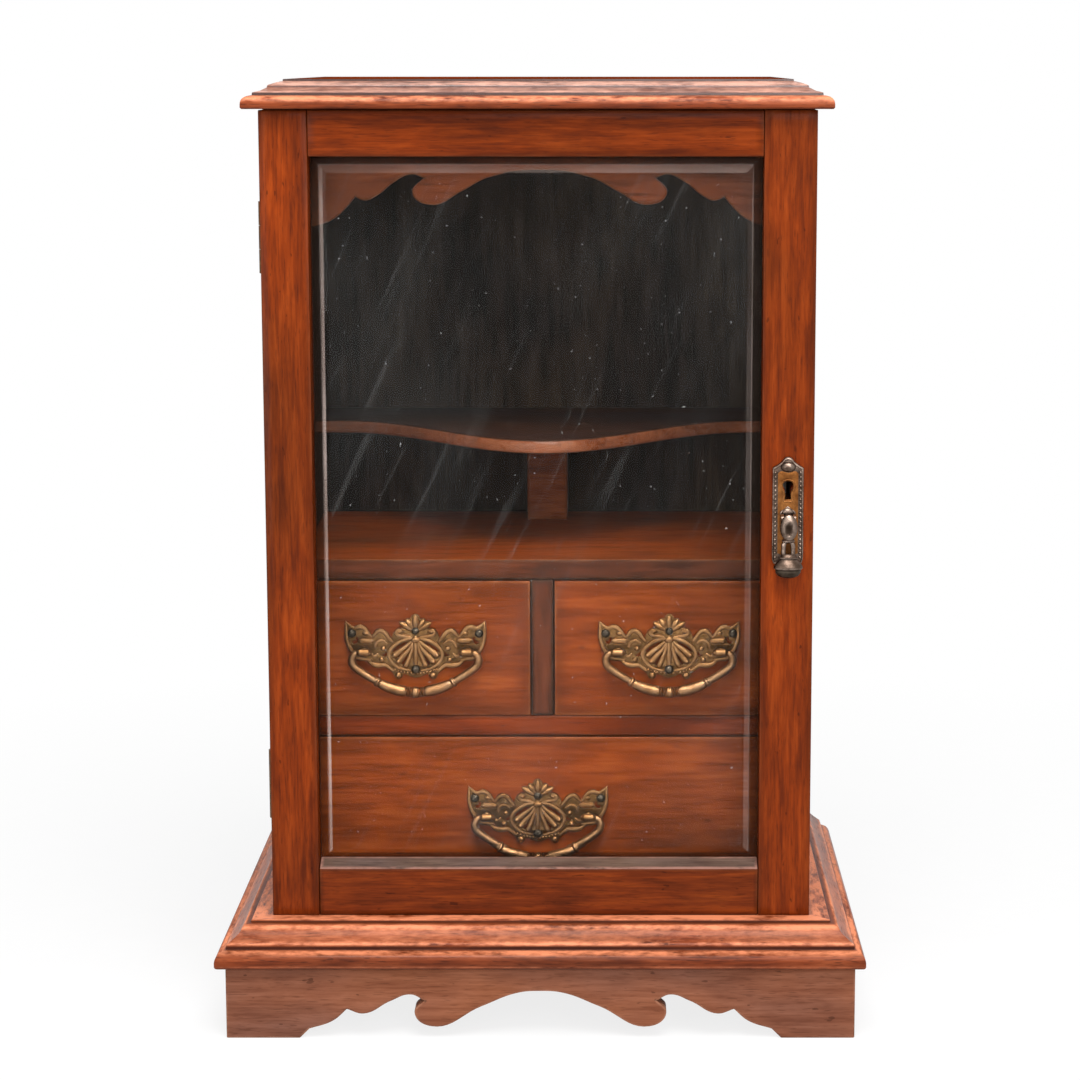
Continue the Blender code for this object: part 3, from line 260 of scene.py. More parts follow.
PULL_OUT = 6.4  # axis of the pull in front of the escutcheon
PULL_EARS = ((2.5, 4.1), (-4.1, -2.5))
PULL_EAR_RADIUS = 2.4
PULL_MIDDLE = (3.3, -4.2)  # oval body: out and up from the axis, then half its width, depth and height
PULL_HALF = (4.9, 2.5, 7.5)
PULL_RECESS = (2.3, 3.8, -5.2, 1.2)  # half width, half height, middle, depth
PULL_SHANK = ((1.7, -12.6, 1.1), (2.5, -14.4, 1.35), (2.6, -17, 1.25), (2.7, -19, 1.3), (2.2, -20.2, 1.1))
PULL_EYE = ((0, -2.2), (2.1, -2.15), (2.45, -1.8), (2.45, 1.8), (2.1, 2.15), (0, 2.2))
PULL_BELL = (  # radius, drop below the axis
    (0.6, 19.2), (3.5, 19.5), (4, 20.2), (4.5, 20.7), (5.3, 21.1), (5.4, 21.7), (4.9, 22.2),
    (5.4, 22.9), (6.6, 24.1), (7.6, 25.4), (8.1, 26.5), (8.15, 27.3), (7.8, 27.9), (7.1, 28.1),
    (7.2, 28.9), (6.9, 30.2), (6, 31.5), (4.3, 32.5), (2.2, 33), (0, 33.1),
)
PULL_BELL_SHADE_DROP = 28.0  # drop from which the bell is dark: painted shade on its underside
PULL_COLLAR = (
    (0, 9), (2.2, 9.4), (2.5, 10.8), (3.5, 11.5), (3.6, 12.3), (2.8, 13), (0, 13.6),
)
LINE_END = ((0.95, 0.35), (0.6, 0.8))  # rounding of a raised line: past its end and width, in radii


# Small helpers for meshes and pieces

def keep_mesh(bm, name, smooth_below=None):
    """A new mesh from a bmesh, which is freed; it can be smooth below an angle in degrees."""
    mesh = bpy.data.meshes.new(name)
    bm.to_mesh(mesh)
    bm.free()
    if smooth_below:
        mesh.shade_smooth()
        mesh.set_sharp_from_angle(angle=math.radians(smooth_below))
    return mesh


def point_marks(bm, *names):
    return [bm.verts.layers.float.new(name) for name in names]


def turn_outwards(bm):
    bmesh.ops.recalc_face_normals(bm, faces=bm.faces)


def round_edges(bm, edges, offset, clamp):
    """Rounds edges in two steps; the points that this makes."""
    made = bmesh.ops.bevel(
        bm, geom=edges, offset=offset, segments=2, profile=0.5, affect="EDGES", clamp_overlap=clamp
    )
    return set(made["verts"])


def put_in_scene(data, name):
    obj = bpy.data.objects.new(name, data)
    bpy.context.scene.collection.objects.link(obj)
    return obj


def place_piece(mesh, name, materials):
    """A finished piece at the origin with its finishes."""
    for material in materials:
        mesh.materials.append(material)
    return put_in_scene(mesh, name)


def fasten(piece, body, slot, *nodes):
    """Lets a piece ride on a body and stand for CAD nodes, which it hides; slot is not used."""
    if nodes:
        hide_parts(*nodes)
    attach(piece, body)
    return piece


def evaluated_mesh(obj):
    """The evaluated object as a plain mesh; the object is removed."""
    bpy.context.view_layer.update()
    seen = obj.evaluated_get(bpy.context.evaluated_depsgraph_get())
    mesh = bpy.data.meshes.new_from_object(seen)
    bpy.data.objects.remove(obj)
    return mesh


def other_side(path):
    return [(-point[0], *point[1:]) for point in path]


def mirrored(half):
    """A whole outline from its right half, whose first point and often its last are on the middle line."""
    left = other_side(half[:0:-1])
    return [*half, *(left[1:] if half[-1][0] == 0.0 else left)]


def outline_mesh(outlines, steps, thickness=0.0):
    """Closed outlines as a mesh in the XY plane: bare lines, or a filled plate with a thickness."""
    data = bpy.data.curves.new("outline", "CURVE")
    data.dimensions = "2D" if thickness else "3D"
    data.resolution_u = steps
    if thickness:
        data.fill_mode = "BOTH"
        data.extrude = thickness / 2
    for outline in outlines:
        spline = data.splines.new("BEZIER")
        spline.use_cyclic_u = True
        spline.bezier_points.add(len(outline) - 1)
        for knot, (across, up, *corner) in zip(spline.bezier_points, outline):
            knot.co = (across * MM, up * MM, 0.0)
            knot.handle_left_type = corner[0] if corner else "AUTO"
            knot.handle_right_type = knot.handle_left_type
    return evaluated_mesh(put_in_scene(data, "outline"))


def join_rings(bm, near, far):
    """New faces between two rings of as many points."""
    faces = []
    for k in range(len(near)):
        after = (k + 1) % len(near)
        faces.append(bm.faces.new([near[k], near[after], far[after], far[k]]))
    return faces


# Wooden pieces

def cut_across(bm, axis, place, whole=None):
    """Cuts a board at a place on an axis, but not its face at x = whole."""
    faces = [f for f in bm.faces if whole is None or abs(f.calc_center_median().x - whole) > NEAR]
    edges = dict.fromkeys(e for f in faces for e in f.edges)
    verts = dict.fromkeys(v for f in faces for v in f.verts)
    normal = Vector([k == axis for k in range(3)])
    geometry = [*verts, *edges, *faces]
    bmesh.ops.bisect_plane(bm, geom=geometry, dist=TINY, plane_co=place * normal, plane_no=normal)


def copied_board(node, cuts=(), whole=None, strips=0.0):
    """A merged copy of a CAD board, cut at pairs of heights and, for its wear, along strips at its edges."""
    bm = bmesh.new()
    bm.from_mesh(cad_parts[node].data)
    bmesh.ops.remove_doubles(bm, verts=bm.verts, dist=MERGE)
    bmesh.ops.dissolve_limit(bm, angle_limit=FLAT_ANGLE, verts=bm.verts, edges=bm.edges)
    for height in cuts:
        cut_across(bm, 2, height, whole)
    stray = []
    for edge in bm.edges if cuts else ():
        heights = [v.co.z for v in edge.verts]
        middle = 0.5 * sum(heights)
        inside = any(low < middle < high for low, high in zip(cuts[::2], cuts[1::2]))
        on_cut = any(max(abs(z - cut) for z in heights) < MERGE for cut in cuts)
        if not inside and not on_cut and edge.is_manifold and edge.calc_face_angle(1.0) < STRAY_ANGLE:
            stray.append(edge)
    bmesh.ops.dissolve_edges(bm, edges=stray, use_verts=False)
    if strips:
        low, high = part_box(node)
        for axis in (0, 2):
            cut_across(bm, axis, low[axis] + strips)
            cut_across(bm, axis, high[axis] - strips)
    return bm


def door_board(node, cuts=(), whole=None, strips=0.0):
    """A board of the door's frame, whose foot and head come closer to the base and the cornice."""
    bm = copied_board(node, cuts, whole, strips)
    low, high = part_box("hinge_stile")
    for vert in bm.verts:
        if vert.co.z < low.z + NEAR:
            vert.co.z -= DOOR_FOOT_EASE * MM
        elif vert.co.z > high.z - NEAR:
            vert.co.z += DOOR_HEAD_EASE * MM
    return bm


def sloped_sill():
    """The bottom rail of the door, whose upper edge slopes towards the front."""
    bm = door_board("bottom_rail")
    low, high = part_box("bottom_rail")
    back, front = SILL_RISE
    for vert in bm.verts:
        if vert.co.z > high.z - NEAR:
            vert.co.z += (front if vert.co.y < low.y + NEAR else back) * MM
    return bm


def moulded_board(node, profile, board, nose):
    """A board with a moulded edge on its front and sides; its steps behind the nose have their own finish."""
    low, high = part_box(node)
    bm = bmesh.new()
    marks = point_marks(bm, "ridge", "groove", "board")
    rings = []
    for inwards, up, rubbed_and_highlight, dirt_and_shade_amount in profile:
        x, y, z = high.x - inwards * MM, low.y + inwards * MM, low.z + up * MM
        ring = [bm.verts.new(place) for place in ((-x, high.y, z), (-x, y, z), (x, y, z), (x, high.y, z))]
        for vert in ring:
            for mark, value in zip(marks, (rubbed_and_highlight, dirt_and_shade_amount, board)):
                vert[mark] = value
        rings.append(ring)
    for row, (below, above) in enumerate(zip(rings, rings[1:])):
        step = profile[row][0] >= nose
        flat = step and profile[row][1] == profile[-1][1]
        for k, face in enumerate(join_rings(bm, below, above)):
            deep = 1 if k in (0, 2) else 0
            face.material_index = TOP_FINISH if flat else (STEP_FINISH if step else 0) + deep
    for face in (bm.faces.new(rings[-1]), bm.faces.new(list(reversed(rings[0])))):
        face.material_index = TOP_FINISH
    turn_outwards(bm)
    return keep_mesh(bm, f"{node}_wood", WOOD_SMOOTH)


def fretted_board(node, half_outline, mitred=False):
    """An upright board with a scrolled lower edge, in the place of a CAD board."""
    low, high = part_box(node)
    mesh = outline_mesh([mirrored(half_outline)], FRET_STEPS)
    points = [v.co.copy() for v in mesh.vertices]
    bpy.data.meshes.remove(mesh)
    bm = bmesh.new()
    front = [bm.verts.new((p.x, low.y, p.y)) for p in points]
    inwards = high.y - low.y if mitred else 0.0
    back = []
    for p in points:
        x = math.copysign(abs(p.x) - inwards, p.x) if abs(p.x) > high.x - MERGE else p.x
        back.append(bm.verts.new((x, high.y, p.y)))
    bm.faces.new(front)
    bm.faces.new(list(reversed(back)))
    join_rings(bm, back, front)
    turn_outwards(bm)
    return bm


def width_of(face):
    """A rough width of a face: its area over its longest span."""
    points = [v.co for v in face.verts]
    span = max(max(p[i] for p in points) - min(p[i] for p in points) for i in range(3))
    return face.calc_area() / max(span, TINY)


def eased_mesh(bm, name, board, ease, margin, finish_of):
    """Eases the arrises of a board; a margin on its faces carries wear and painted highlight, dirt and
    painted shade.
    """
    ridge, groove, own = point_marks(bm, "ridge", "groove", "board")
    sharp = [e for e in bm.edges if e.is_manifold and e.calc_face_angle_signed(0.0) > ARRIS_ANGLE]
    rounded = round_edges(bm, sharp, ease, True)
    for face in [f for f in bm.faces if width_of(f) > WIDE_FACE * MM]:
        thickness = min(margin, 0.3 * width_of(face))
        bmesh.ops.inset_individual(bm, faces=[face], thickness=thickness, use_even_offset=False)
    for vert in bm.verts:
        hollow = [e for e in vert.link_edges if e.is_manifold and e.calc_face_angle_signed(0.0) < QUIRK_ANGLE]
        vert[ridge] = 1.0 if vert in rounded else 0.0
        vert[groove] = 1.0 if hollow else 0.0
        vert[own] = board
    for face in bm.faces:
        face.material_index = finish_of(face.calc_center_median(), face.normal) if finish_of else 0
    return keep_mesh(bm, name, WOOD_SMOOTH)


# Cast work: raised lines, bosses and turned shapes in a plate's own millimetres

def turns(sides):
    """Cosines and sines of even turns round a circle."""
    angles = [2 * math.pi * k / sides for k in range(sides)]
    return [(math.cos(angle), math.sin(angle)) for angle in angles]


class Casting:
    """A mesh that grows by raised work; across is X, up is Z and out of the plate is -Y."""

    def __init__(self):
        self.bm = bmesh.new()
        self.ridge, self.groove = point_marks(self.bm, "ridge", "groove")

    def point(self, across, out, up, ridge=0.0, groove=0.0):
        vert = self.bm.verts.new((across * MM, -out * MM, up * MM))
        vert[self.ridge] = ridge
        vert[self.groove] = groove
        return vert

    def skin(self, rings, finish):
        """Joins rings of points into a closed skin."""
        faces = [face for near, far in zip(rings, rings[1:]) for face in join_rings(self.bm, near, far)]
        faces += [self.bm.faces.new(rings[0]), self.bm.faces.new(rings[-1])]
        for face in faces:
            face.material_index = finish

    def line(self, path, finish, out=0.0, flat=1.0, sides=8, steps=4, free=False):
        """A raised line along (across, up, radius), with rounded ends; a free one stands off its plate."""
        knots = smooth_path(path, steps)
        first = [end_point(knots[0], knots[1], *share) for share in LINE_END]
        last = [end_point(knots[-1], knots[-2], *share) for share in LINE_END[::-1]]
        knots = first + knots + last
        rings = []
        for i, (across, up, radius) in enumerate(knots):
            before = knots[max(i - 1, 0)]
            after = knots[min(i + 1, len(knots) - 1)]
            along = Vector((after[0] - before[0], after[1] - before[1])).normalized()
            narrow = 0.5 * (before[2] + after[2]) > 1.08 * radius and 0 < i < len(knots) - 1
            ring = []
            for aside, outwards in turns(sides):
                side, rise = radius * aside, radius * flat * outwards
                seated = 0.0 if free else max(0.0, 0.15 - outwards)
                ring.append(self.point(
                    across - along.y * side, out + rise, up + along.x * side,
                    max(0.0, outwards) * (0.2 if narrow else 1.0), 0.8 if narrow else seated,
                ))
            rings.append(ring)
        self.skin(rings, finish)

    def boss(self, across, up, wide, tall, proud, finish, out=0.0, sides=14, rows=4):
        """A rounded boss that stands on a plate."""
        levels = [(1.0, out - 0.3, 0.0, 1.0)]
        for row in range(rows):
            rise = 0.5 * math.pi * row / rows
            top = math.sin(rise)
            levels.append((math.cos(rise), out + proud * top, top, 0.7 * (1.0 - top) ** 2))
        self.skin([
            [
                self.point(across + wide * share * x, depth, up + tall * share * z, ridge, groove)
                for x, z in turns(sides)
            ]
            for share, depth, ridge, groove in levels
        ], finish)

    def turned(self, profile, finish, flat=1.0, sides=28, under=None, under_shade_finish=0):
        """A shape turned about the upright axis from (radius, drop) points, flattened front to back."""
        rings = []
        for i, (radius, drop) in enumerate(profile):
            before = profile[max(i - 1, 0)][0]
            after = profile[min(i + 1, len(profile) - 1)][0]
            proud = radius > max(before, after) + 0.02 or (radius >= before and radius > after)
            hollow = radius < min(before, after) + 0.05 and 0 < i < len(profile) - 1
            size = max(radius, 0.02)
            wear = (0.9 if proud else 0.25, 0.9 if hollow else 0.0)
            rings.append([self.point(size * x, size * flat * y, -drop, *wear) for x, y in turns(sides)])
        start = len(self.bm.faces)
        self.skin(rings, finish)
        self.bm.faces.ensure_lookup_table()
        # Faces below under take a darker finish: painted shade on an underside.
        for face in self.bm.faces[start:]:
            if under is not None and face.calc_center_median().z < -under * MM:
                face.material_index = under_shade_finish

    def lug(self, inner, outer, out, radius, finish):
        """A rounded ear from the plate to a pin's axis."""
        rim = [(0.0, -radius), (out, -radius)]
        rim += [(out + radius * math.sin(a), -radius * math.cos(a)) for a in (0.5, 1.0, 1.57, 2.1, 2.6)]
        rim += [(out, radius), (0.0, radius)]
        rings = [[self.point(x, reach - 0.4, up, 0.6) for reach, up in rim] for x in (inner, outer)]
        self.skin(rings, finish)

    def sheet(self, outlines, thickness, rounding, finish, out=0.0):
        """A flat pierced plate whose face is at out; its front arris is rounded."""
        mesh = outline_mesh(outlines, PLATE_STEPS, thickness * MM)
        part = bmesh.new()
        part.from_mesh(mesh)
        bpy.data.meshes.remove(mesh)
        bmesh.ops.remove_doubles(part, verts=part.verts, dist=TINY)
        turn_outwards(part)
        front = max(v.co.z for v in part.verts) - TINY
        arris = [
            e for e in part.edges
            if e.is_manifold and e.calc_face_angle(0.0) > 1.0 and all(v.co.z > front for v in e.verts)
        ]
        rim = round_edges(part, arris, rounding * MM, False)
        copies = {}
        for vert in part.verts:
            place = (vert.co.x / MM, vert.co.z / MM - thickness / 2 + out, vert.co.y / MM)
            copies[vert] = self.point(*place, 0.45 if vert in rim else 0.0)
        for face in part.faces:
            self.bm.faces.new([copies[v] for v in face.verts]).material_index = finish
        part.free()

    def mesh_from(self, mesh, finish, ridge=0.8):
        """Takes in a mesh made elsewhere, which is removed."""
        copies = [self.bm.verts.new(v.co) for v in mesh.vertices]
        for vert in copies:
            vert[self.ridge] = ridge
        for polygon in mesh.polygons:
            self.bm.faces.new([copies[i] for i in polygon.vertices]).material_index = finish
        bpy.data.meshes.remove(mesh)

    def finished(self, name):
        turn_outwards(self.bm)
        return keep_mesh(self.bm, name, CAST_SMOOTH)


def smooth_path(path, steps):
    """Points along a path, rounded through its knots."""
    fine = []
    for i in range(len(path) - 1):
        knots = [path[max(i - 1, 0)], path[i], path[i + 1], path[min(i + 2, len(path) - 1)]]
        for k in range(steps):
            fine.append(tuple(between(*values, k / steps) for values in zip(*knots)))
    fine.append(tuple(path[-1]))
    return fine


def between(a, b, c, d, t):
    return 0.5 * (2 * b + (c - a) * t + (2 * a - 5 * b + 4 * c - d) * t * t + (3 * b - a - 3 * c + d) * t**3)


def end_point(last, before, past, share):
    """A smaller point just past the end of a raised line, which rounds it."""
    away = Vector((last[0] - before[0], last[1] - before[1])).normalized() * past * last[2]
    return (last[0] + away.x, last[1] + away.y, share * last[2])


# Node trees

GRAIN_TURN = {"x": (0.0, 0.0, 0.0), "y": (0.0, 0.0, -math.pi / 2), "z": (0.0, math.pi / 2, 0.0)}
GRAIN_NAMES = {"x": "across", "y": "deep", "z": "upright"}
WEAR_STRETCH = (0.35, 1.0, 1.0)  # wear follows the grain
WIPE_TURN = (0.0, -0.45, 0.0)  # slant of the wipes on the glass
BOARD_SHIFT = {"X": 1.73, "Y": 0.91, "Z": 0.57}  # moves the figure by a board's number
BUMP_DEPTH = 0.0002


def opaque(colour):
    """A colour or a grey with full alpha; a node's output stays as it is."""
    if isinstance(colour, float):
        return (colour, colour, colour, 1.0)
    return (*colour, 1.0) if isinstance(colour, tuple) else colour


class Wiring:
    """Adds nodes to a tree; an input takes a value or another node's output."""

    def __init__(self, tree):
        self.tree = tree

    def fill(self, node, inputs):
        for socket, value in inputs.items():
            if isinstance(value, bpy.types.NodeSocket):
                self.tree.links.new(value, node.inputs[socket])
            else:
                node.inputs[socket].default_value = value
        return node

    def node(self, kind, inputs=None, **settings):
        made = self.tree.nodes.new(kind)
        for setting, value in settings.items():
            setattr(made, setting, value)
        return self.fill(made, inputs or {})

    def group(self, group, inputs):
        return self.node("ShaderNodeGroup", inputs, node_tree=group).outputs

    def math(self, operation, *values, clamp=False):
        inputs = dict(enumerate(values))
        return self.node("ShaderNodeMath", inputs, operation=operation, use_clamp=clamp).outputs[0]

    def scaled(self, value, share, rest=0.0):
        """A value times a share, plus the rest."""
        return self.math("MULTIPLY_ADD", value, share, rest)

    def mix(self, factor, first, second, blend="MIX"):
        inputs = {0: factor, 6: opaque(first), 7: opaque(second)}
        return self.node("ShaderNodeMix", inputs, data_type="RGBA", blend_type=blend).outputs[2]

    def ramp(self, factor, *stops):
        made = self.node("ShaderNodeValToRGB", {"Fac": factor})
        elements = made.color_ramp.elements
        while len(elements) < len(stops):
            elements.new(0.5)
        for element, (position, colour) in zip(elements, stops):
            element.position = position
            element.color = opaque(colour)
        return made.outputs["Color"]

    def noise(self, vector, scale, detail=3.0, roughness=0.55, distortion=0.0):
        sockets = ("Vector", "Scale", "Detail", "Roughness", "Distortion")
        inputs = dict(zip(sockets, (vector, scale, detail, roughness, distortion)))
        return self.node("ShaderNodeTexNoise", inputs).outputs["Fac"]

    def mapped(self, vector, scale=(1.0, 1.0, 1.0), turn=(0.0, 0.0, 0.0)):
        inputs = {"Vector": vector, "Scale": scale, "Rotation": turn}
        return self.node("ShaderNodeMapping", inputs).outputs["Vector"]

    def mark(self, name):
        return self.node("ShaderNodeAttribute", attribute_name=name).outputs["Fac"]

    def bump(self, height, strength):
        inputs = {"Height": height, "Strength": strength, "Distance": BUMP_DEPTH}
        return self.node("ShaderNodeBump", inputs).outputs["Normal"]

    def surface(self, factor, first, second):
        """Mixes two shaders into the surface of a material."""
        both = self.node("ShaderNodeMixShader", {0: factor, 1: first, 2: second})
        self.fill(self.tree.nodes["Material Output"], {"Surface": both.outputs["Shader"]})

    def seen(self):
        """1 for rays that show a thing itself: from the camera, a glossy face or through the glass."""
        path = self.node("ShaderNodeLightPath").outputs
        seen = self.math("MAXIMUM", path["Is Camera Ray"], path["Is Glossy Ray"])
        return self.math("MAXIMUM", seen, path["Is Transmission Ray"])


def new_tree(name, kind, inputs, outputs):
    """A group's tree with its sockets, its wiring and the outputs of its input node."""
    tree = bpy.data.node_groups.new(name, kind)
    for way, sockets in (("INPUT", inputs), ("OUTPUT", outputs)):
        for socket, sort in sockets.items():
            tree.interface.new_socket(socket, in_out=way, socket_type=f"NodeSocket{sort}")
    wire = Wiring(tree)
    return tree, wire, wire.node("NodeGroupInput").outputs


def make_bead_tree():
    """Geometry nodes: a row of beads along a path."""
    inputs = {"Path": "Geometry", "Bead Radius": "Float", "Pitch": "Float", "Finish": "Material"}
    tree, wire, start = new_tree("bead_row", "GeometryNodeTree", inputs, {"Beads": "Geometry"})

    def step(kind, mode=(), **inputs):
        return wire.node(f"GeometryNode{kind}", inputs, **dict(mode)).outputs[0]

    curve = step("MeshToCurve", Mesh=start["Path"])
    points = step("ResampleCurve", {"mode": "LENGTH"}, Curve=curve, Length=start["Pitch"])
    bead = step("MeshIcoSphere", Radius=start["Bead Radius"], Subdivisions=2)
    row = step("InstanceOnPoints", Points=points, Instance=bead)
    beads = step("RealizeInstances", Geometry=row)
    dressed = step("SetMaterial", Geometry=beads, Material=start["Finish"])
    wire.node("NodeGroupOutput", {"Beads": dressed})
    return tree


BEAD_TREE = make_bead_tree()


def bead_row(path, radius, pitch, material):
    """A row of beads along (across, up) points, as a plain mesh."""
    mesh = bpy.data.meshes.new("bead_path")
    points = [(across * MM, 0.0, up * MM) for across, up in path]
    mesh.from_pydata(points, [(i, i + 1) for i in range(len(points) - 1)], [])
    row = put_in_scene(mesh, "bead_row")
    modifier = row.modifiers.new("beads", "NODES")
    modifier.node_group = BEAD_TREE
    values = {"Bead Radius": radius * MM, "Pitch": pitch * MM, "Finish": material}
    for socket in BEAD_TREE.interface.items_tree:
        if socket.name in values:
            modifier[socket.identifier] = values[socket.name]
    return evaluated_mesh(row)


def make_figure_group():
    """Mahogany's figure along X: mottled ribbons, fine fibres and short dark pores."""
    outputs = {"Tone": "Float", "Pores": "Float", "Patches": "Float"}
    inputs = {"Vector": "Vector", "Board": "Float"}
    group, wire, start = new_tree("mahogany_figure", "ShaderNodeTree", inputs, outputs)
    shares = {axis: wire.scaled(start["Board"], share) for axis, share in BOARD_SHIFT.items()}
    shift = wire.node("ShaderNodeCombineXYZ", shares).outputs["Vector"]
    moved = wire.node("ShaderNodeVectorMath", {0: start["Vector"], 1: shift}, operation="ADD")

    def band(length, *noise):
        return wire.noise(wire.mapped(moved.outputs["Vector"], (length, 1.0, 1.0)), *noise)

    ribbons = band(0.22, 95.0, 4.0, 0.62, 0.5)
    streaks = band(0.07, 330.0, 3.0, 0.6, 0.3)
    fibres = band(0.05, 820.0, 2.0)
    pores = band(0.09, 1300.0, 1.0, 0.5)
    wire.node("NodeGroupOutput", {
        "Tone": wire.scaled(ribbons, 0.42, wire.scaled(streaks, 0.37, wire.scaled(fibres, 0.21))),
        "Pores": wire.ramp(pores, (0.60, 0.0), (0.70, 1.0)),
        "Patches": band(0.5, 14.0),
    })
    return group


def make_wear_group():
    """Polish wearing off ridges, with painted highlight, and dirt, with painted shade, on edges and hollows,
    from the piece's marks.
    """
    inputs = {"Vector": "Vector", "Rub": "Float", "Edge_Dirt_And_Shade": "Float", "Focus": "Float"}
    outputs = {"Wear_And_Highlight": "Float", "Dirt_And_Shade": "Float", "Nicks": "Float"}
    group, wire, start = new_tree("arris_wear_and_painted_light", "ShaderNodeTree", inputs, outputs)
    place, ridge = start["Vector"], wire.mark("ridge")
    blotch = wire.noise(place, 60.0, 5.0, 0.68)
    speckle = wire.noise(place, 420.0, 3.0, 0.6)
    uneven = wire.scaled(wire.scaled(blotch, 0.75, wire.scaled(speckle, 0.45)), 6.2, -2.95)
    # Ridges turn lighter: polish wearing off, and painted highlight.
    near = wire.scaled(wire.math("POWER", ridge, start["Focus"]), start["Rub"])
    # Edges and grooves turn darker: dirt, and painted shade.
    soil = wire.scaled(wire.math("POWER", ridge, 1.2), start["Edge_Dirt_And_Shade"])
    dirt_and_shade_amount = wire.math("MAXIMUM", wire.mark("groove"), soil)
    wire.node("NodeGroupOutput", {
        "Wear_And_Highlight": wire.math("MULTIPLY", near, uneven, clamp=True),
        "Dirt_And_Shade": wire.math("MULTIPLY", dirt_and_shade_amount, wire.math("ADD", blotch, 0.45), clamp=True),
        "Nicks": wire.ramp(wire.noise(place, 340.0, 2.0, 0.4), (0.725, 0.0), (0.760, 1.0)),
    })
    return group


FIGURE = make_figure_group()
WEAR = make_wear_group()


def new_material(name):
    material = bpy.data.materials.new(name)
    material.use_nodes = True
    wire = Wiring(material.node_tree)
    shader = material.node_tree.nodes["Principled BSDF"]
    place = wire.node("ShaderNodeTexCoord").outputs["Object"]
    return material, wire, shader, place


def darker(colour, share):
    return tuple(share * c for c in colour)


# Wood finishes: dark, middle and light figure, and the colour of an arris whose polish has gone, which also
# paints highlights

POLISHED = ((0.148, 0.026, 0.003), (0.252, 0.044, 0.005), (0.340, 0.068, 0.009), (0.50, 0.15, 0.05))
FRAMED = ((0.088, 0.013, 0.002), (0.160, 0.023, 0.002), (0.240, 0.039, 0.004), (0.32, 0.11, 0.045))
MOULDED = ((0.080, 0.013, 0.003), (0.185, 0.034, 0.008), (0.290, 0.064, 0.018), (0.66, 0.22, 0.105))
# Cornice steps: a pinkish grey colour for bare polish that paints their pale reflection.
CRESTED = ((0.070, 0.014, 0.005), (0.150, 0.036, 0.013), (0.230, 0.066, 0.028), (0.55, 0.27, 0.19))
# The shelf's top, far darker than its edge: painted shade.
DIM = ((0.032, 0.012, 0.007), (0.055, 0.020, 0.011), (0.082, 0.031, 0.018), (0.20, 0.09, 0.05))
# The door's bottom rail, darker than the rest of the frame: painted shade.
FOOT_IN_SHADE = ((0.072, 0.012, 0.002), (0.125, 0.020, 0.003), (0.185, 0.033, 0.004), (0.28, 0.09, 0.035))
FADED = ((0.150, 0.047, 0.022), (0.205, 0.071, 0.035), (0.260, 0.097, 0.051), (0.42, 0.20, 0.12))
DUSTY = ((0.058, 0.034, 0.025), (0.090, 0.056, 0.042), (0.130, 0.084, 0.066), (0.25, 0.125, 0.095))
INNER = ((0.105, 0.026, 0.008), (0.185, 0.043, 0.013), (0.250, 0.064, 0.020), (0.32, 0.12, 0.05))
SHADED = ((0.055, 0.014, 0.005), (0.108, 0.026, 0.009), (0.160, 0.042, 0.016), (0.30, 0.12, 0.06))
BLACKENED = ((0.020, 0.012, 0.008), (0.037, 0.023, 0.016), (0.060, 0.038, 0.026), (0.10, 0.06, 0.04))
SHELVED = ((0.172, 0.041, 0.014), (0.285, 0.073, 0.025), (0.370, 0.106, 0.040), (0.46, 0.20, 0.11))
LINING = ((0.20, 0.105, 0.045), (0.34, 0.20, 0.095), (0.46, 0.30, 0.16), (0.52, 0.36, 0.21))

# Cloudy shading from brown to orange
PATCHES = ((0.32, (0.62, 0.70, 0.90)), (0.50, (0.95, 0.95, 1.0)), (0.68, (1.16, 1.10, 0.95)))


def wood(
    name, grain, colours, rub=0.25, soil=0.5, focus=1.8, gloss=0.26, shine=0.06, coat=0.03,
    deep=0.35, dirt=0.14,
):
    """A polished board with its grain along an axis: figure, pores, arrises lightened by wear and painted
    highlight, quirks darkened by dirt and painted shade.
    """
    dark, middle, light, worn_and_highlight = colours
    material, wire, shader, place = new_material(name)
    along = wire.mapped(place, turn=GRAIN_TURN[grain])
    figure = wire.group(FIGURE, {"Vector": along, "Board": wire.mark("board")})
    streaky = wire.mapped(along, WEAR_STRETCH)
    wear = wire.group(WEAR, {"Vector": streaky, "Rub": rub, "Edge_Dirt_And_Shade": soil, "Focus": focus})
    colour = wire.ramp(figure["Tone"], (0.385, dark), (0.50, middle), (0.615, light))
    colour = wire.mix(1.0, colour, wire.ramp(figure["Patches"], *PATCHES), "MULTIPLY")
    colour = wire.mix(wire.scaled(figure["Pores"], deep), colour, darker(dark, 0.4))
    colour = wire.mix(wire.scaled(wear["Nicks"], 0.55), colour, darker(dark, 0.25))
    # The dark tone of dirt, which also paints shade in quirks and at edges.
    colour = wire.mix(wear["Dirt_And_Shade"], colour, darker(dark, dirt))
    rough = wire.scaled(figure["Patches"], 0.18, wire.scaled(figure["Pores"], 0.16, gloss))
    height = wire.math("SUBTRACT", wire.scaled(figure["Tone"], 0.5), figure["Pores"])
    wire.fill(shader, {
        # The colour of bare arrises, which also paints highlights.
        "Base Color": wire.mix(wear["Wear_And_Highlight"], colour, worn_and_highlight),
        "Roughness": wire.scaled(wear["Wear_And_Highlight"], 0.15, rough),
        "Normal": wire.bump(height, 0.16),
        "Specular IOR Level": shine,
        "Coat Weight": coat,
        "Coat Roughness": 0.15,
    })
    return material


def woods(name, grains, colours, **look):
    """A finish for each way in which its grain runs."""
    return [wood(f"{name}_{GRAIN_NAMES[grain]}", grain, colours, **look) for grain in grains]


# Moulding finishes: strong rubbing that paints highlights on the profile's bands, and dark dirt that paints
# shade in its quirks.
MOULDING_WEAR_AND_LIGHT = {"rub": 0.95, "soil": 0.0, "deep": 0.7, "dirt": 0.45}

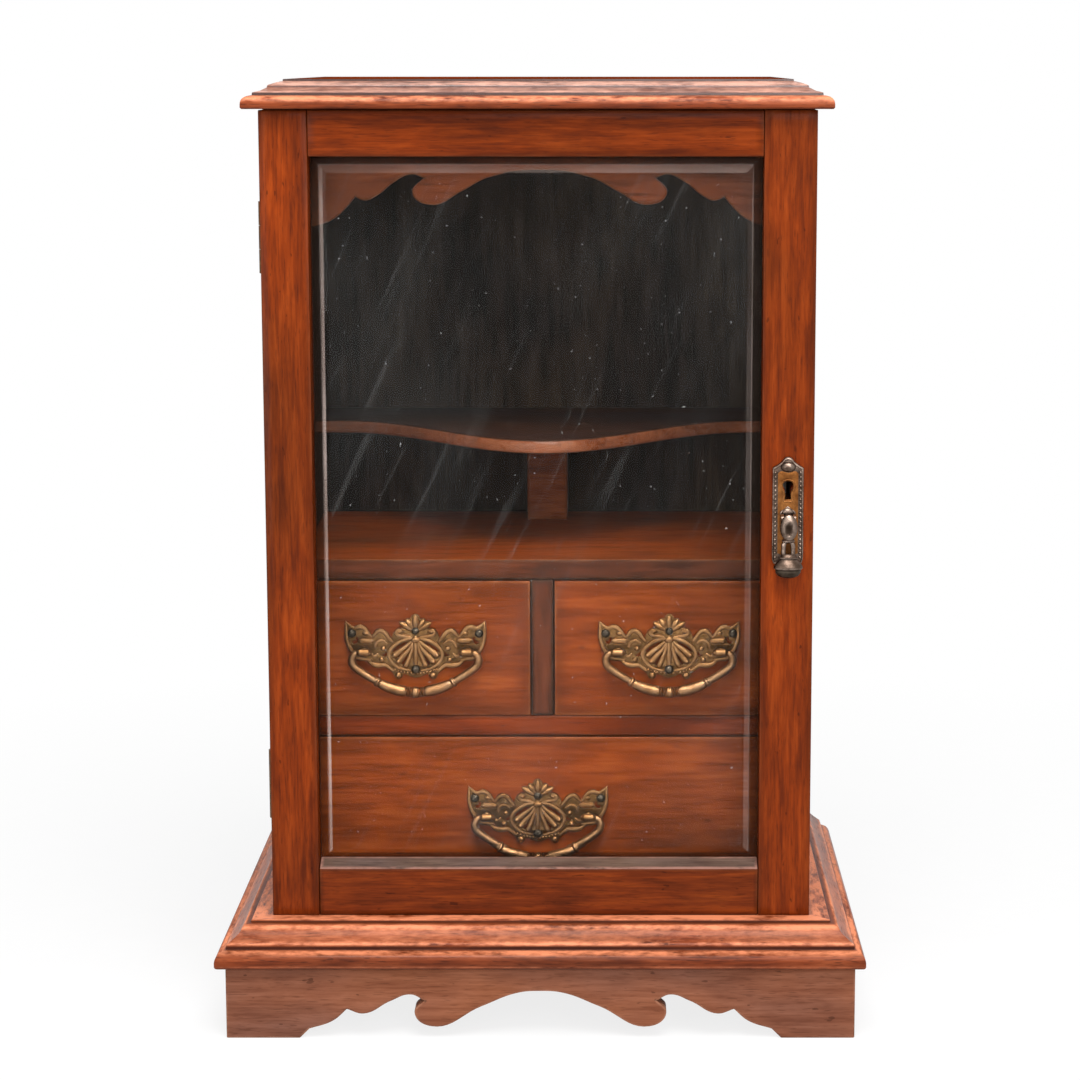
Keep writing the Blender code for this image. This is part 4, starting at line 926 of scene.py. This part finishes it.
# On the drawer fronts the dark edges are painted shade and the light arris lines painted highlight.
polished_x = wood("polished_mahogany_across", "x", POLISHED, rub=0.3, soil=0.6, focus=10.0, dirt=0.5)
frame_x, frame_z = woods("dark_polish", "xz", FRAMED, rub=0.1, soil=0.5, focus=8.0, dirt=0.4)
# Painted shade on the door's bottom rail.
foot_shade_x = wood("dark_polish_foot_shade", "x", FOOT_IN_SHADE, rub=0.1, soil=0.5, focus=5.0, dirt=0.4)
shelf_x = wood("shelf_edge_across", "x", SHELVED, rub=0.12, soil=0.1, gloss=0.18, shine=0.3)
moulded_x, moulded_y = woods("moulded_mahogany", "xy", MOULDED, gloss=0.24, shine=0.10, coat=0.05, **MOULDING_WEAR_AND_LIGHT)
# The cornice's steps: a pale painted reflection in their colour for bare polish.
crest_x, crest_y = woods("crest_mahogany", "xy", CRESTED, gloss=0.20, shine=0.55, coat=0.15, **MOULDING_WEAR_AND_LIGHT)
dull_top = wood("dull_top_across", "x", FRAMED, soil=0.4, gloss=0.6, shine=0.0, coat=0.0)
plinth_x, plinth_y = woods("faded_mahogany", "xy", FADED, rub=0.35, soil=0.2, gloss=0.36, deep=0.4)
dusty_sill = wood("dusty_sill", "x", DUSTY, rub=1.0, soil=0.0, gloss=0.36)
inner_x = wood("inner_polish_across", "x", INNER, soil=0.3)
shaded_x = wood("shaded_mahogany_across", "x", SHADED, rub=0.2, soil=0.4, gloss=0.38)
shaded_z = wood("shaded_mahogany_upright", "z", SHADED, rub=0.1, soil=0.9, gloss=0.38, dirt=0.1)
# Painted shade on the shelf's top.
dim_x = wood("dim_mahogany_across", "x", DIM, rub=0.1, soil=0.2, gloss=0.42)
black_z, black_x = woods("blackened_mahogany", "zx", BLACKENED, gloss=0.5, coat=0.0)
lining_y, lining_x = woods("drawer_lining", "yx", LINING, gloss=0.55, coat=0.0)

METALS = (  # name, tarnish, metal, metal bright from rubbing and painted highlight, roughness, share of rubbing
    ("tarnished_brass_ground", (0.078, 0.036, 0.012), (0.165, 0.078, 0.027), (0.36, 0.19, 0.075), 0.30, 0.6),
    ("rubbed_brass_relief", (0.140, 0.060, 0.020), (0.235, 0.106, 0.038), (0.31, 0.160, 0.072), 0.34, 0.8),
    ("handled_brass_bail", (0.180, 0.079, 0.030), (0.285, 0.136, 0.058), (0.29, 0.160, 0.086), 0.34, 0.7),
    ("dark_brass_pin", (0.028, 0.020, 0.014), (0.064, 0.048, 0.034), (0.13, 0.10, 0.075), 0.36, 0.5),
    ("dark_bronze_cast", (0.050, 0.030, 0.020), (0.120, 0.079, 0.058), (0.35, 0.265, 0.215), 0.24, 0.7),
    ("orange_brass_panel", (0.125, 0.042, 0.011), (0.265, 0.102, 0.027), (0.42, 0.20, 0.075), 0.36, 0.4),
    ("dull_steel_case", (0.12, 0.11, 0.10), (0.28, 0.27, 0.25), (0.42, 0.40, 0.38), 0.40, 0.4),
)


def cast_metal(name, tarnish, metal, rubbed_and_highlight, roughness, rub):
    """Cast metal: a dull tarnish in its hollows and bright metal where fingers rub it, which also paints its
    highlights.
    """
    material, wire, shader, place = new_material(name)
    wear = wire.group(WEAR, {"Vector": place, "Rub": rub, "Edge_Dirt_And_Shade": 0.0, "Focus": 1.8})
    cloud = wire.noise(place, 260.0, 4.0, 0.6)
    colour = wire.mix(wear["Wear_And_Highlight"], wire.ramp(cloud, (0.34, tarnish), (0.62, metal)), rubbed_and_highlight)
    wire.fill(shader, {
        "Base Color": wire.mix(wire.scaled(wear["Dirt_And_Shade"], 0.85), colour, darker(tarnish, 0.3)),
        "Roughness": wire.scaled(wire.noise(place, 900.0, 2.0, 0.5), 0.22, roughness),
        "Normal": wire.bump(cloud, 0.2),
        "Metallic": 1.0,
    })
    return material


brass_ground, brass_relief, brass_bail, brass_pin, bronze_cast, brass_panel, steel_case = [
    cast_metal(*row) for row in METALS
]


def plate_glass():
    """Old plate glass: clear, a little smeared, and it lets the lamps light the cupboard."""
    material, wire, shader, place = new_material("bevelled_plate_glass")
    slant = wire.mapped(place, turn=WIPE_TURN)
    streaks = wire.noise(wire.mapped(slant, (1.0, 1.0, 0.12)), 60.0, 4.0, 0.6)
    wire.fill(shader, {
        "Roughness": wire.scaled(wire.ramp(streaks, (0.55, 0.0), (0.85, 1.0)), 0.04),
        "Base Color": (0.95, 0.965, 0.95, 1.0),
        "Transmission Weight": 1.0,
        "IOR": 1.15,
    })
    clear = wire.node("ShaderNodeBsdfTransparent", {"Color": (0.92, 0.935, 0.92, 1.0)})
    path = wire.node("ShaderNodeLightPath").outputs
    lamp = wire.math("MAXIMUM", path["Is Shadow Ray"], path["Is Diffuse Ray"])
    wire.surface(lamp, shader.outputs["BSDF"], clear.outputs["BSDF"])
    return material


def bevel_painted_light():
    """Painted reflections, as pale bars, and painted shade, as a dark rim, on the bevels of the glass."""
    material, wire, shader, place = new_material("bevel_painted_light")
    cloud = wire.noise(place, 22.0, 3.0, 0.6)
    painted_reflection = wire.ramp(cloud, (0.35, (0.55, 0.42, 0.36)), (0.65, (0.72, 0.58, 0.52)))
    wire.fill(shader, {
        # Pale painted reflection where its mark is high, dark painted shade where it is low.
        "Base Color": wire.mix(wire.mark("painted_reflection"), (0.016, 0.010, 0.007), painted_reflection),
        "Alpha": wire.scaled(wire.mark("cover"), wire.ramp(cloud, (0.30, 0.7), (0.70, 1.0))),
        "Roughness": wire.ramp(cloud, (0.30, 0.40), (0.70, 0.60)),
        "Specular IOR Level": 0.1,
    })
    return material


def glass_dust():
    """A thin film on the glass: smears, faint slanting wipes and specks of dust."""
    material, wire, shader, place = new_material("glass_dust")
    slant = wire.mapped(place, turn=WIPE_TURN)
    smears = wire.noise(wire.mapped(slant, (1.0, 1.0, 0.45)), 9.0, 3.0, 0.6)
    smears = wire.ramp(smears, (0.46, 0.0), (0.80, 0.020))
    wipes = wire.noise(wire.mapped(slant, (1.0, 1.0, 0.04)), 230.0, 4.0, 0.65)
    wipes = wire.scaled(wire.ramp(wipes, (0.58, 0.0), (0.74, 0.045)), wire.noise(place, 7.0, 2.0))
    specks = wire.ramp(wire.noise(place, 520.0, 1.0, 0.4), (0.76, 0.0), (0.80, 0.22))
    wire.fill(shader, {
        "Alpha": wire.math("ADD", wire.math("ADD", smears, wipes), specks),
        "Base Color": wire.ramp(smears, (0.0, (0.42, 0.42, 0.40)), (0.04, (0.46, 0.50, 0.50))),
        "Roughness": wire.ramp(wipes, (0.0, 0.50), (0.05, 0.70)),
        "Specular IOR Level": 0.1,
    })
    return material


glass = plate_glass()
bevel_light_paint = bevel_painted_light()
dust = glass_dust()


# Dressing the wooden boards

def dress_board(node, body, materials, finish_of=None, shape=None):
    board, ease, margin = BOARDS[node]
    mesh = eased_mesh(shape or copied_board(node), f"{node}_wood", board, ease * MM, margin * MM, finish_of)
    return fasten(place_piece(mesh, f"{node}_wood", materials), body, "polished_mahogany", node)


def dress_moulding(node, profile, board, nose, materials):
    mesh = moulded_board(node, profile, board, nose)
    fasten(place_piece(mesh, f"{node}_wood", materials), "carcass", "polished_mahogany", node)


def shaded_inner_side(inner):
    """Chooses finish 1, black as painted shade inside, for the face of a carcass side at x = inner."""
    reach = INNER_REACH * MM
    return lambda centre, normal: int(abs(centre.x - inner) < reach and abs(normal.x) > 0.9)


def facing(axis, way):
    """Chooses finish 1 for what faces one way along an axis."""
    return lambda centre, normal: int(way * normal[axis] > 0.5)


def clear_wear(piece, place, reach):
    """Takes the wear off the points of a piece near a place on its front."""
    for vert, mark in zip(piece.data.vertices, piece.data.attributes["ridge"].data):
        if math.hypot(vert.co.x - place[0], vert.co.z - place[2]) < reach:
            mark.value = 0.0


def soil_end(piece, axis, start, end, most):
    """Painted shade on one end or edge of a piece, growing along an axis, through its groove mark."""
    for vert, mark in zip(piece.data.vertices, piece.data.attributes["groove"].data):
        share = (vert.co[axis] - start) / (end - start)
        mark.value = max(mark.value, most * min(max(share, 0.0), 1.0))


def coat_nodes(material, *nodes):
    """Gives CAD nodes that keep their shape a finish."""
    for node in nodes:
        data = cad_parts[node].data
        data.materials.clear()
        data.materials.append(material)


def dress_wood():
    crest = [moulded_x, moulded_y, dull_top, crest_x, crest_y]
    dress_moulding("cornice", CORNICE_PROFILE, 3.1, CORNICE_NOSE, crest)
    dress_moulding("base_board", BASE_PROFILE, 4.1, math.inf, [moulded_x, moulded_y, moulded_x])
    front = fretted_board("plinth_front", PLINTH_OUTLINE, mitred=True)
    dress_board("plinth_front", "carcass", [plinth_x], shape=front)
    dress_board("plinth_left", "carcass", [plinth_y])
    dress_board("plinth_right", "carcass", [plinth_y])
    for node, cuts in (("side_left", HINGE_CUTS), ("side_right", BOLT_CUTS)):
        low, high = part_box(node)
        inner, outer = (low.x, high.x) if low.x > 0 else (high.x, low.x)
        shape = copied_board(node, cuts, outer)
        # The sides' inner faces take the black finish: painted shade inside the carcass.
        dress_board(node, "carcass", [frame_z, black_z], shaded_inner_side(inner), shape)
    dress_board("frieze", "carcass", [inner_x], shape=fretted_board("frieze", FRIEZE_OUTLINE))
    # The shelf darkens towards its left end: painted shade.
    soil_end(dress_board("shelf", "carcass", [dim_x, shelf_x], facing(1, -1)), 0, *SHELF_END_SHADE)
    dress_board("shelf_support", "carcass", [inner_x])
    top = dress_board("drawer_top_board", "carcass", [polished_x, shaded_x], facing(1, -1))
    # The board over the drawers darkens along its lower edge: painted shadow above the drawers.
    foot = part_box("drawer_top_board")[0].z
    soil_end(top, 2, foot + 1.5 * MM, foot + 0.5 * MM, 1.0)
    dress_board("drawer_divider", "carcass", [shaded_z])
    dress_board("drawer_rail", "carcass", [frame_x])
    dress_board("hinge_stile", "door", [frame_z], shape=door_board("hinge_stile"))
    cuts = [KEYHOLE_PLACE[2] + side * KEYHOLE_CUT for side in (-1, 1)]
    stile = door_board("lock_stile", cuts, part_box("lock_stile")[1].x, STILE_STRIP)
    clear_wear(dress_board("lock_stile", "door", [frame_z], shape=stile), KEYHOLE_PLACE, KEYHOLE_CLEAR)
    dress_board("top_rail", "door", [frame_x], shape=door_board("top_rail"))
    dress_board("bottom_rail", "door", [foot_shade_x, dusty_sill], facing(2, 1), sloped_sill())
    for drawer in ("left_drawer", "right_drawer", "long_drawer"):
        dress_board(f"{drawer}_front", drawer, [polished_x])
        coat_nodes(lining_y, f"{drawer}_left_side", f"{drawer}_right_side", f"{drawer}_bottom")
        coat_nodes(lining_x, f"{drawer}_back")
    coat_nodes(black_z, "back_panel")
    coat_nodes(black_x, "carcass_bottom", "plinth_back", "plinth_block_left", "plinth_block_right")
    coat_nodes(frame_x, "bead_top", "bead_bottom")
    coat_nodes(frame_z, "bead_left", "bead_right")


# Fittings

def cast_handle_plate():
    """The pierced plate of a drawer handle, with its raised work, pins, beads and the bail's knuckles."""
    ground, relief, pin = range(3)
    cast = Casting()
    holes = [hole for right in PLATE_PIERCINGS for hole in (right, other_side(right))]
    cast.sheet([mirrored(PLATE_OUTLINE)] + holes, *PLATE_SHEET, ground)
    for path in PLATE_LINES:
        bold = [(across, up, LINE_BOLDNESS * radius) for across, up, radius in path]
        for line in (bold, other_side(bold)):
            cast.line(line, relief, flat=0.85)
    for path in PLATE_LEAVES:
        for line in (path, other_side(path)) if path[0][0] > 0.0 else (path,):
            cast.line(line, relief, flat=0.6, sides=10)
    for across, *shape in PLATE_BOSSES:
        for side in (-1, 1):
            cast.boss(side * across, *shape, relief)
    cast.boss(*FAN_KNOB, relief)
    for across, up, radius in PLATE_PINS:
        cast.boss(across, up, radius, radius, PIN_PROUD * radius, pin, PIN_OUT)
    cast.mesh_from(bead_row(PLATE_BEAD_ROW, *PLATE_BEADS, brass_relief), relief)
    for barrel in (other_side(KNUCKLE), KNUCKLE):
        cast.line(barrel, relief, out=BAIL_OUT, sides=14, steps=2, free=True)
        cast.boss(math.copysign(KNUCKLE_FOOT[0], barrel[0][0]), *KNUCKLE_FOOT[1:], ground)
    return cast.finished("handle_plate_cast")


def cast_bail():
    """The swinging bail: thin arms, turned collars and a swelling grip."""
    cast = Casting()
    path = other_side(BAIL_LINE) + list(reversed(BAIL_LINE))[1:]
    cast.line(path, 0, sides=12, steps=3, free=True)
    return cast.finished("bail_cast")


def cast_escutcheon():
    """The lock plate: arched top, boss, bead rows, a brass panel with the keyhole, and the pull's ears."""
    bronze, panel = range(2)
    cast = Casting()
    keyhole = mirrored(KEYHOLE_OUTLINE)
    cast.sheet([mirrored(ESCUTCHEON_OUTLINE), keyhole], *ESCUTCHEON_SHEET, bronze)
    cast.sheet([mirrored(PANEL_OUTLINE), keyhole], *PANEL_SHEET, panel, PANEL_OUT)
    for number, path in enumerate(ESCUTCHEON_LINES):
        seat = (panel, PANEL_OUT) if number == KEYHOLE_RIM else (bronze, 0.0)
        cast.line(path, *seat)
        cast.line(other_side(path), *seat)
    cast.boss(*ARCH_BOSS, bronze, sides=20, rows=6)
    cast.boss(*LEAF_BOSS, bronze, out=PANEL_OUT)
    across, top, foot = ESCUTCHEON_BEAD_ROW
    for x in (-across, across):
        cast.mesh_from(bead_row([(x, top), (x, foot)], *ESCUTCHEON_BEADS, bronze_cast), bronze)
    ears = Casting()
    for inner, outer in PULL_EARS:
        ears.lug(inner, outer, PULL_OUT, PULL_EAR_RADIUS, bronze)
    mesh = ears.finished("ears")
    mesh.transform(Matrix.Translation((0.0, 0.0, PULL_AXIS[2] - KEYHOLE_PLACE[2])))
    cast.mesh_from(mesh, bronze, 0.4)
    return cast.finished("escutcheon_cast")


def cast_pull():
    """The drop pull: an oval body with a recess, a collar, an open shank and a bell."""
    cast = Casting()
    rows, sides = 18, 24
    middle_out, middle_up = PULL_MIDDLE
    half_wide, half_deep, half_tall = PULL_HALF
    wide, tall, centre, depth = PULL_RECESS
    rings = []
    for row in range(1, rows):
        rise = math.pi * row / rows
        ring = []
        for aside, outwards in turns(sides):
            across = half_wide * math.sin(rise) * aside
            up = middle_up + half_tall * math.cos(rise)
            out = middle_out + half_deep * math.sin(rise) * outwards
            dip = (across / wide) ** 2 + ((up - centre) / tall) ** 2
            sunk = max(0.0, 1.0 - dip) ** 0.35 if outwards > 0 else 0.0
            ring.append(cast.point(across, out - depth * sunk, up, 0.9 * (1.0 - sunk) * outwards, sunk))
        rings.append(ring)
    cast.skin(rings, 0)
    cast.turned(PULL_COLLAR, 0, flat=0.8)
    for shank in (other_side(PULL_SHANK), PULL_SHANK):
        cast.line(shank, 0, free=True)
    # The bell's underside takes the dark pin metal: painted shade.
    cast.turned(PULL_BELL, 0, flat=0.62, under=PULL_BELL_SHADE_DROP, under_shade_finish=1)
    eye = Casting()
    eye.turned(PULL_EYE, 0, sides=18)
    mesh = eye.finished("eye")
    mesh.transform(Matrix.Rotation(math.pi / 2, 4, "Y"))
    cast.mesh_from(mesh, 0, 0.3)
    return cast.finished("drop_pull_cast")


def fix_casting(mesh, name, place, materials, body, slot, node):
    """Moves a casting to its place and lets it stand for a CAD node."""
    mesh.name = name
    mesh.transform(Matrix.Translation(place))
    fasten(place_piece(mesh, name, materials), body, slot, node)


def dress_fittings():
    plate, bail = cast_handle_plate(), cast_bail()
    plate_finishes = [brass_ground, brass_relief, brass_pin]
    for side, (x, y, z) in HANDLE_PLACES.items():
        drawer = f"{side}_drawer"
        node, place = f"{drawer}_handle_plate", (x, y + BAIL_OUT * MM, z)
        fix_casting(plate.copy(), f"{node}_cast", place, plate_finishes, drawer, "aged_brass", node)
        node = f"{drawer}_bail"
        fix_casting(bail.copy(), f"{node}_cast", (x, y, z), [brass_bail], f"{side}_bail", "aged_brass", node)
    bpy.data.meshes.remove(plate)
    bpy.data.meshes.remove(bail)
    finishes = [bronze_cast, brass_panel]
    fix_casting(
        cast_escutcheon(), "escutcheon_cast", KEYHOLE_PLACE, finishes, "door", "dark_bronze", "escutcheon"
    )
    finishes = [bronze_cast, brass_pin]
    fix_casting(cast_pull(), "drop_pull_cast", PULL_AXIS, finishes, "drop_pull", "dark_bronze", "drop_pull")
    coat_nodes(bronze_cast, "drop_pull_pin")
    coat_nodes(steel_case, "lock_case")
    coat_nodes(brass_relief, "lock_bolt")
    for hinge in ("upper_hinge", "lower_hinge"):
        coat_nodes(brass_ground, *(f"{hinge}_{part}" for part in ("carcass_leaf", "door_leaf", "pin")))


# Glass

def close_sheet(bm, rows):
    """Closes a thin sheet from pairs of points: its front rows, then its back rows the other way."""
    for near, far in zip(rows, rows[1:] + rows[:1]):
        bm.faces.new([near[0], near[1], far[1], far[0]])
    for end in (0, 1):
        bm.faces.new([pair[end] for pair in rows])


def keep_film(bm, name, material):
    turn_outwards(bm)
    fasten(place_piece(keep_mesh(bm, name), name, [material]), "door", "plate_glass")


def dress_glass():
    """The pane, painted reflections and painted shade on its bevels, and the dust on its flat."""
    coat_nodes(glass, "glass_pane")
    low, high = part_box("glass_pane")
    inset = GLASS_BEVEL * MM
    left, right, foot, top = low.x + inset, high.x - inset, low.z + inset, high.z - inset
    bm = bmesh.new()
    cover, painted_reflection = point_marks(bm, "cover", "painted_reflection")
    for side, rows in BEVEL_PAINTED_LIGHT.items():
        sheet = []
        for proud, order in ((FILM_FRONT, rows), (FILM_BACK, rows[::-1])):
            for t, near_end, far_end, reflection_share in order:
                t *= MM
                y = low.y + t * GLASS_BEVEL_DEPTH / GLASS_BEVEL - proud * MM
                x0, x1, z0, z1 = left - t, right + t, foot - t, top + t
                ends = {
                    "left": ((x0, z0), (x0, z1)),
                    "right": ((x1, z0), (x1, z1)),
                    "top": ((x0, z1), (x1, z1)),
                    "foot": ((x0, z0), (x1, z0)),
                }[side]
                pair = [bm.verts.new((x, y, z)) for x, z in ends]
                for vert, strength in zip(pair, (near_end, far_end)):
                    vert[cover] = strength
                    vert[painted_reflection] = reflection_share
                sheet.append(pair)
        close_sheet(bm, sheet)
    keep_film(bm, "glass_bevel_painted_light", bevel_light_paint)
    bm = bmesh.new()
    sheet = []
    for proud, order in ((FILM_FRONT, (left, right)), (FILM_BACK, (right, left))):
        for x in order:
            sheet.append([bm.verts.new((x, low.y - proud * MM, z)) for z in (foot, top)])
    close_sheet(bm, sheet)
    keep_film(bm, "glass_dust_film", dust)


# Floor, light and camera

LAMPS = (  # name, place, size, power
    ("front_lamp", (0.55, -2.2, 1.3), 1.2, 22.0),
    ("side_lamp", (-1.1, -2.0, 0.6), 0.8, 9.0),
    ("top_lamp", (0.15, -1.0, 2.0), 1.2, 56.0),
)
LAMP_AIM = (0.0, -0.1, 0.27)
WHITE = (1.0, 1.0, 1.0, 1.0)
FLOOR_SIZE = 30.0

CAMERA_PLACE = (0.039, -1.604, 0.5478)
CAMERA_PITCH = math.radians(8.655)
CAMERA_LENS = 90.79
CAMERA_SHIFT = (-0.0642, -0.060)


def pale_floor():
    """A pale floor that looks as white as the background further off."""
    bm = bmesh.new()
    bmesh.ops.create_grid(bm, x_segments=1, y_segments=1, size=FLOOR_SIZE)
    material, wire, shader, place = new_material("pale_floor_paper")
    grain = wire.noise(place, 40.0, 2.0)
    wire.fill(shader, {"Base Color": wire.ramp(grain, (0.3, 0.80), (0.7, 0.83)), "Roughness": 0.9})
    glow = wire.node("ShaderNodeEmission", {"Color": WHITE, "Strength": 1.0})
    away = wire.node("ShaderNodeVectorMath", {0: place}, operation="LENGTH").outputs["Value"]
    far = wire.ramp(wire.scaled(away, 0.5), (0.12, 0.82), (0.42, 1.0))
    wire.surface(wire.scaled(wire.seen(), far), shader.outputs["BSDF"], glow.outputs["Emission"])
    floor = place_piece(keep_mesh(bm, "pale_floor"), "pale_floor", [material])


def studio_light():
    world = bpy.data.worlds.new("studio")
    bpy.context.scene.world = world
    world.use_nodes = True
    wire = Wiring(world.node_tree)
    strength = wire.scaled(wire.seen(), 0.75, 0.25)
    wire.fill(world.node_tree.nodes["Background"], {"Color": WHITE, "Strength": strength})
    for name, place, size, power in LAMPS:
        data = bpy.data.lights.new(name, "AREA")
        data.shape = "SQUARE"
        data.size = size
        data.energy = power
        lamp = put_in_scene(data, name)
        lamp.location = place
        lamp.rotation_euler = (Vector(LAMP_AIM) - Vector(place)).to_track_quat("-Z", "Y").to_euler()


def photo_camera():
    data = bpy.data.cameras.new("photo_camera")
    data.sensor_width = 36.0
    data.lens = CAMERA_LENS
    data.shift_x, data.shift_y = CAMERA_SHIFT
    camera = put_in_scene(data, "photo_camera")
    camera.location = CAMERA_PLACE
    camera.rotation_euler = (math.pi / 2 - CAMERA_PITCH, 0.0, 0.0)
    bpy.context.scene.camera = camera


dress_wood()
dress_fittings()
dress_glass()
pale_floor()
studio_light()
photo_camera()
bpy.context.scene.view_settings.view_transform = "Standard"
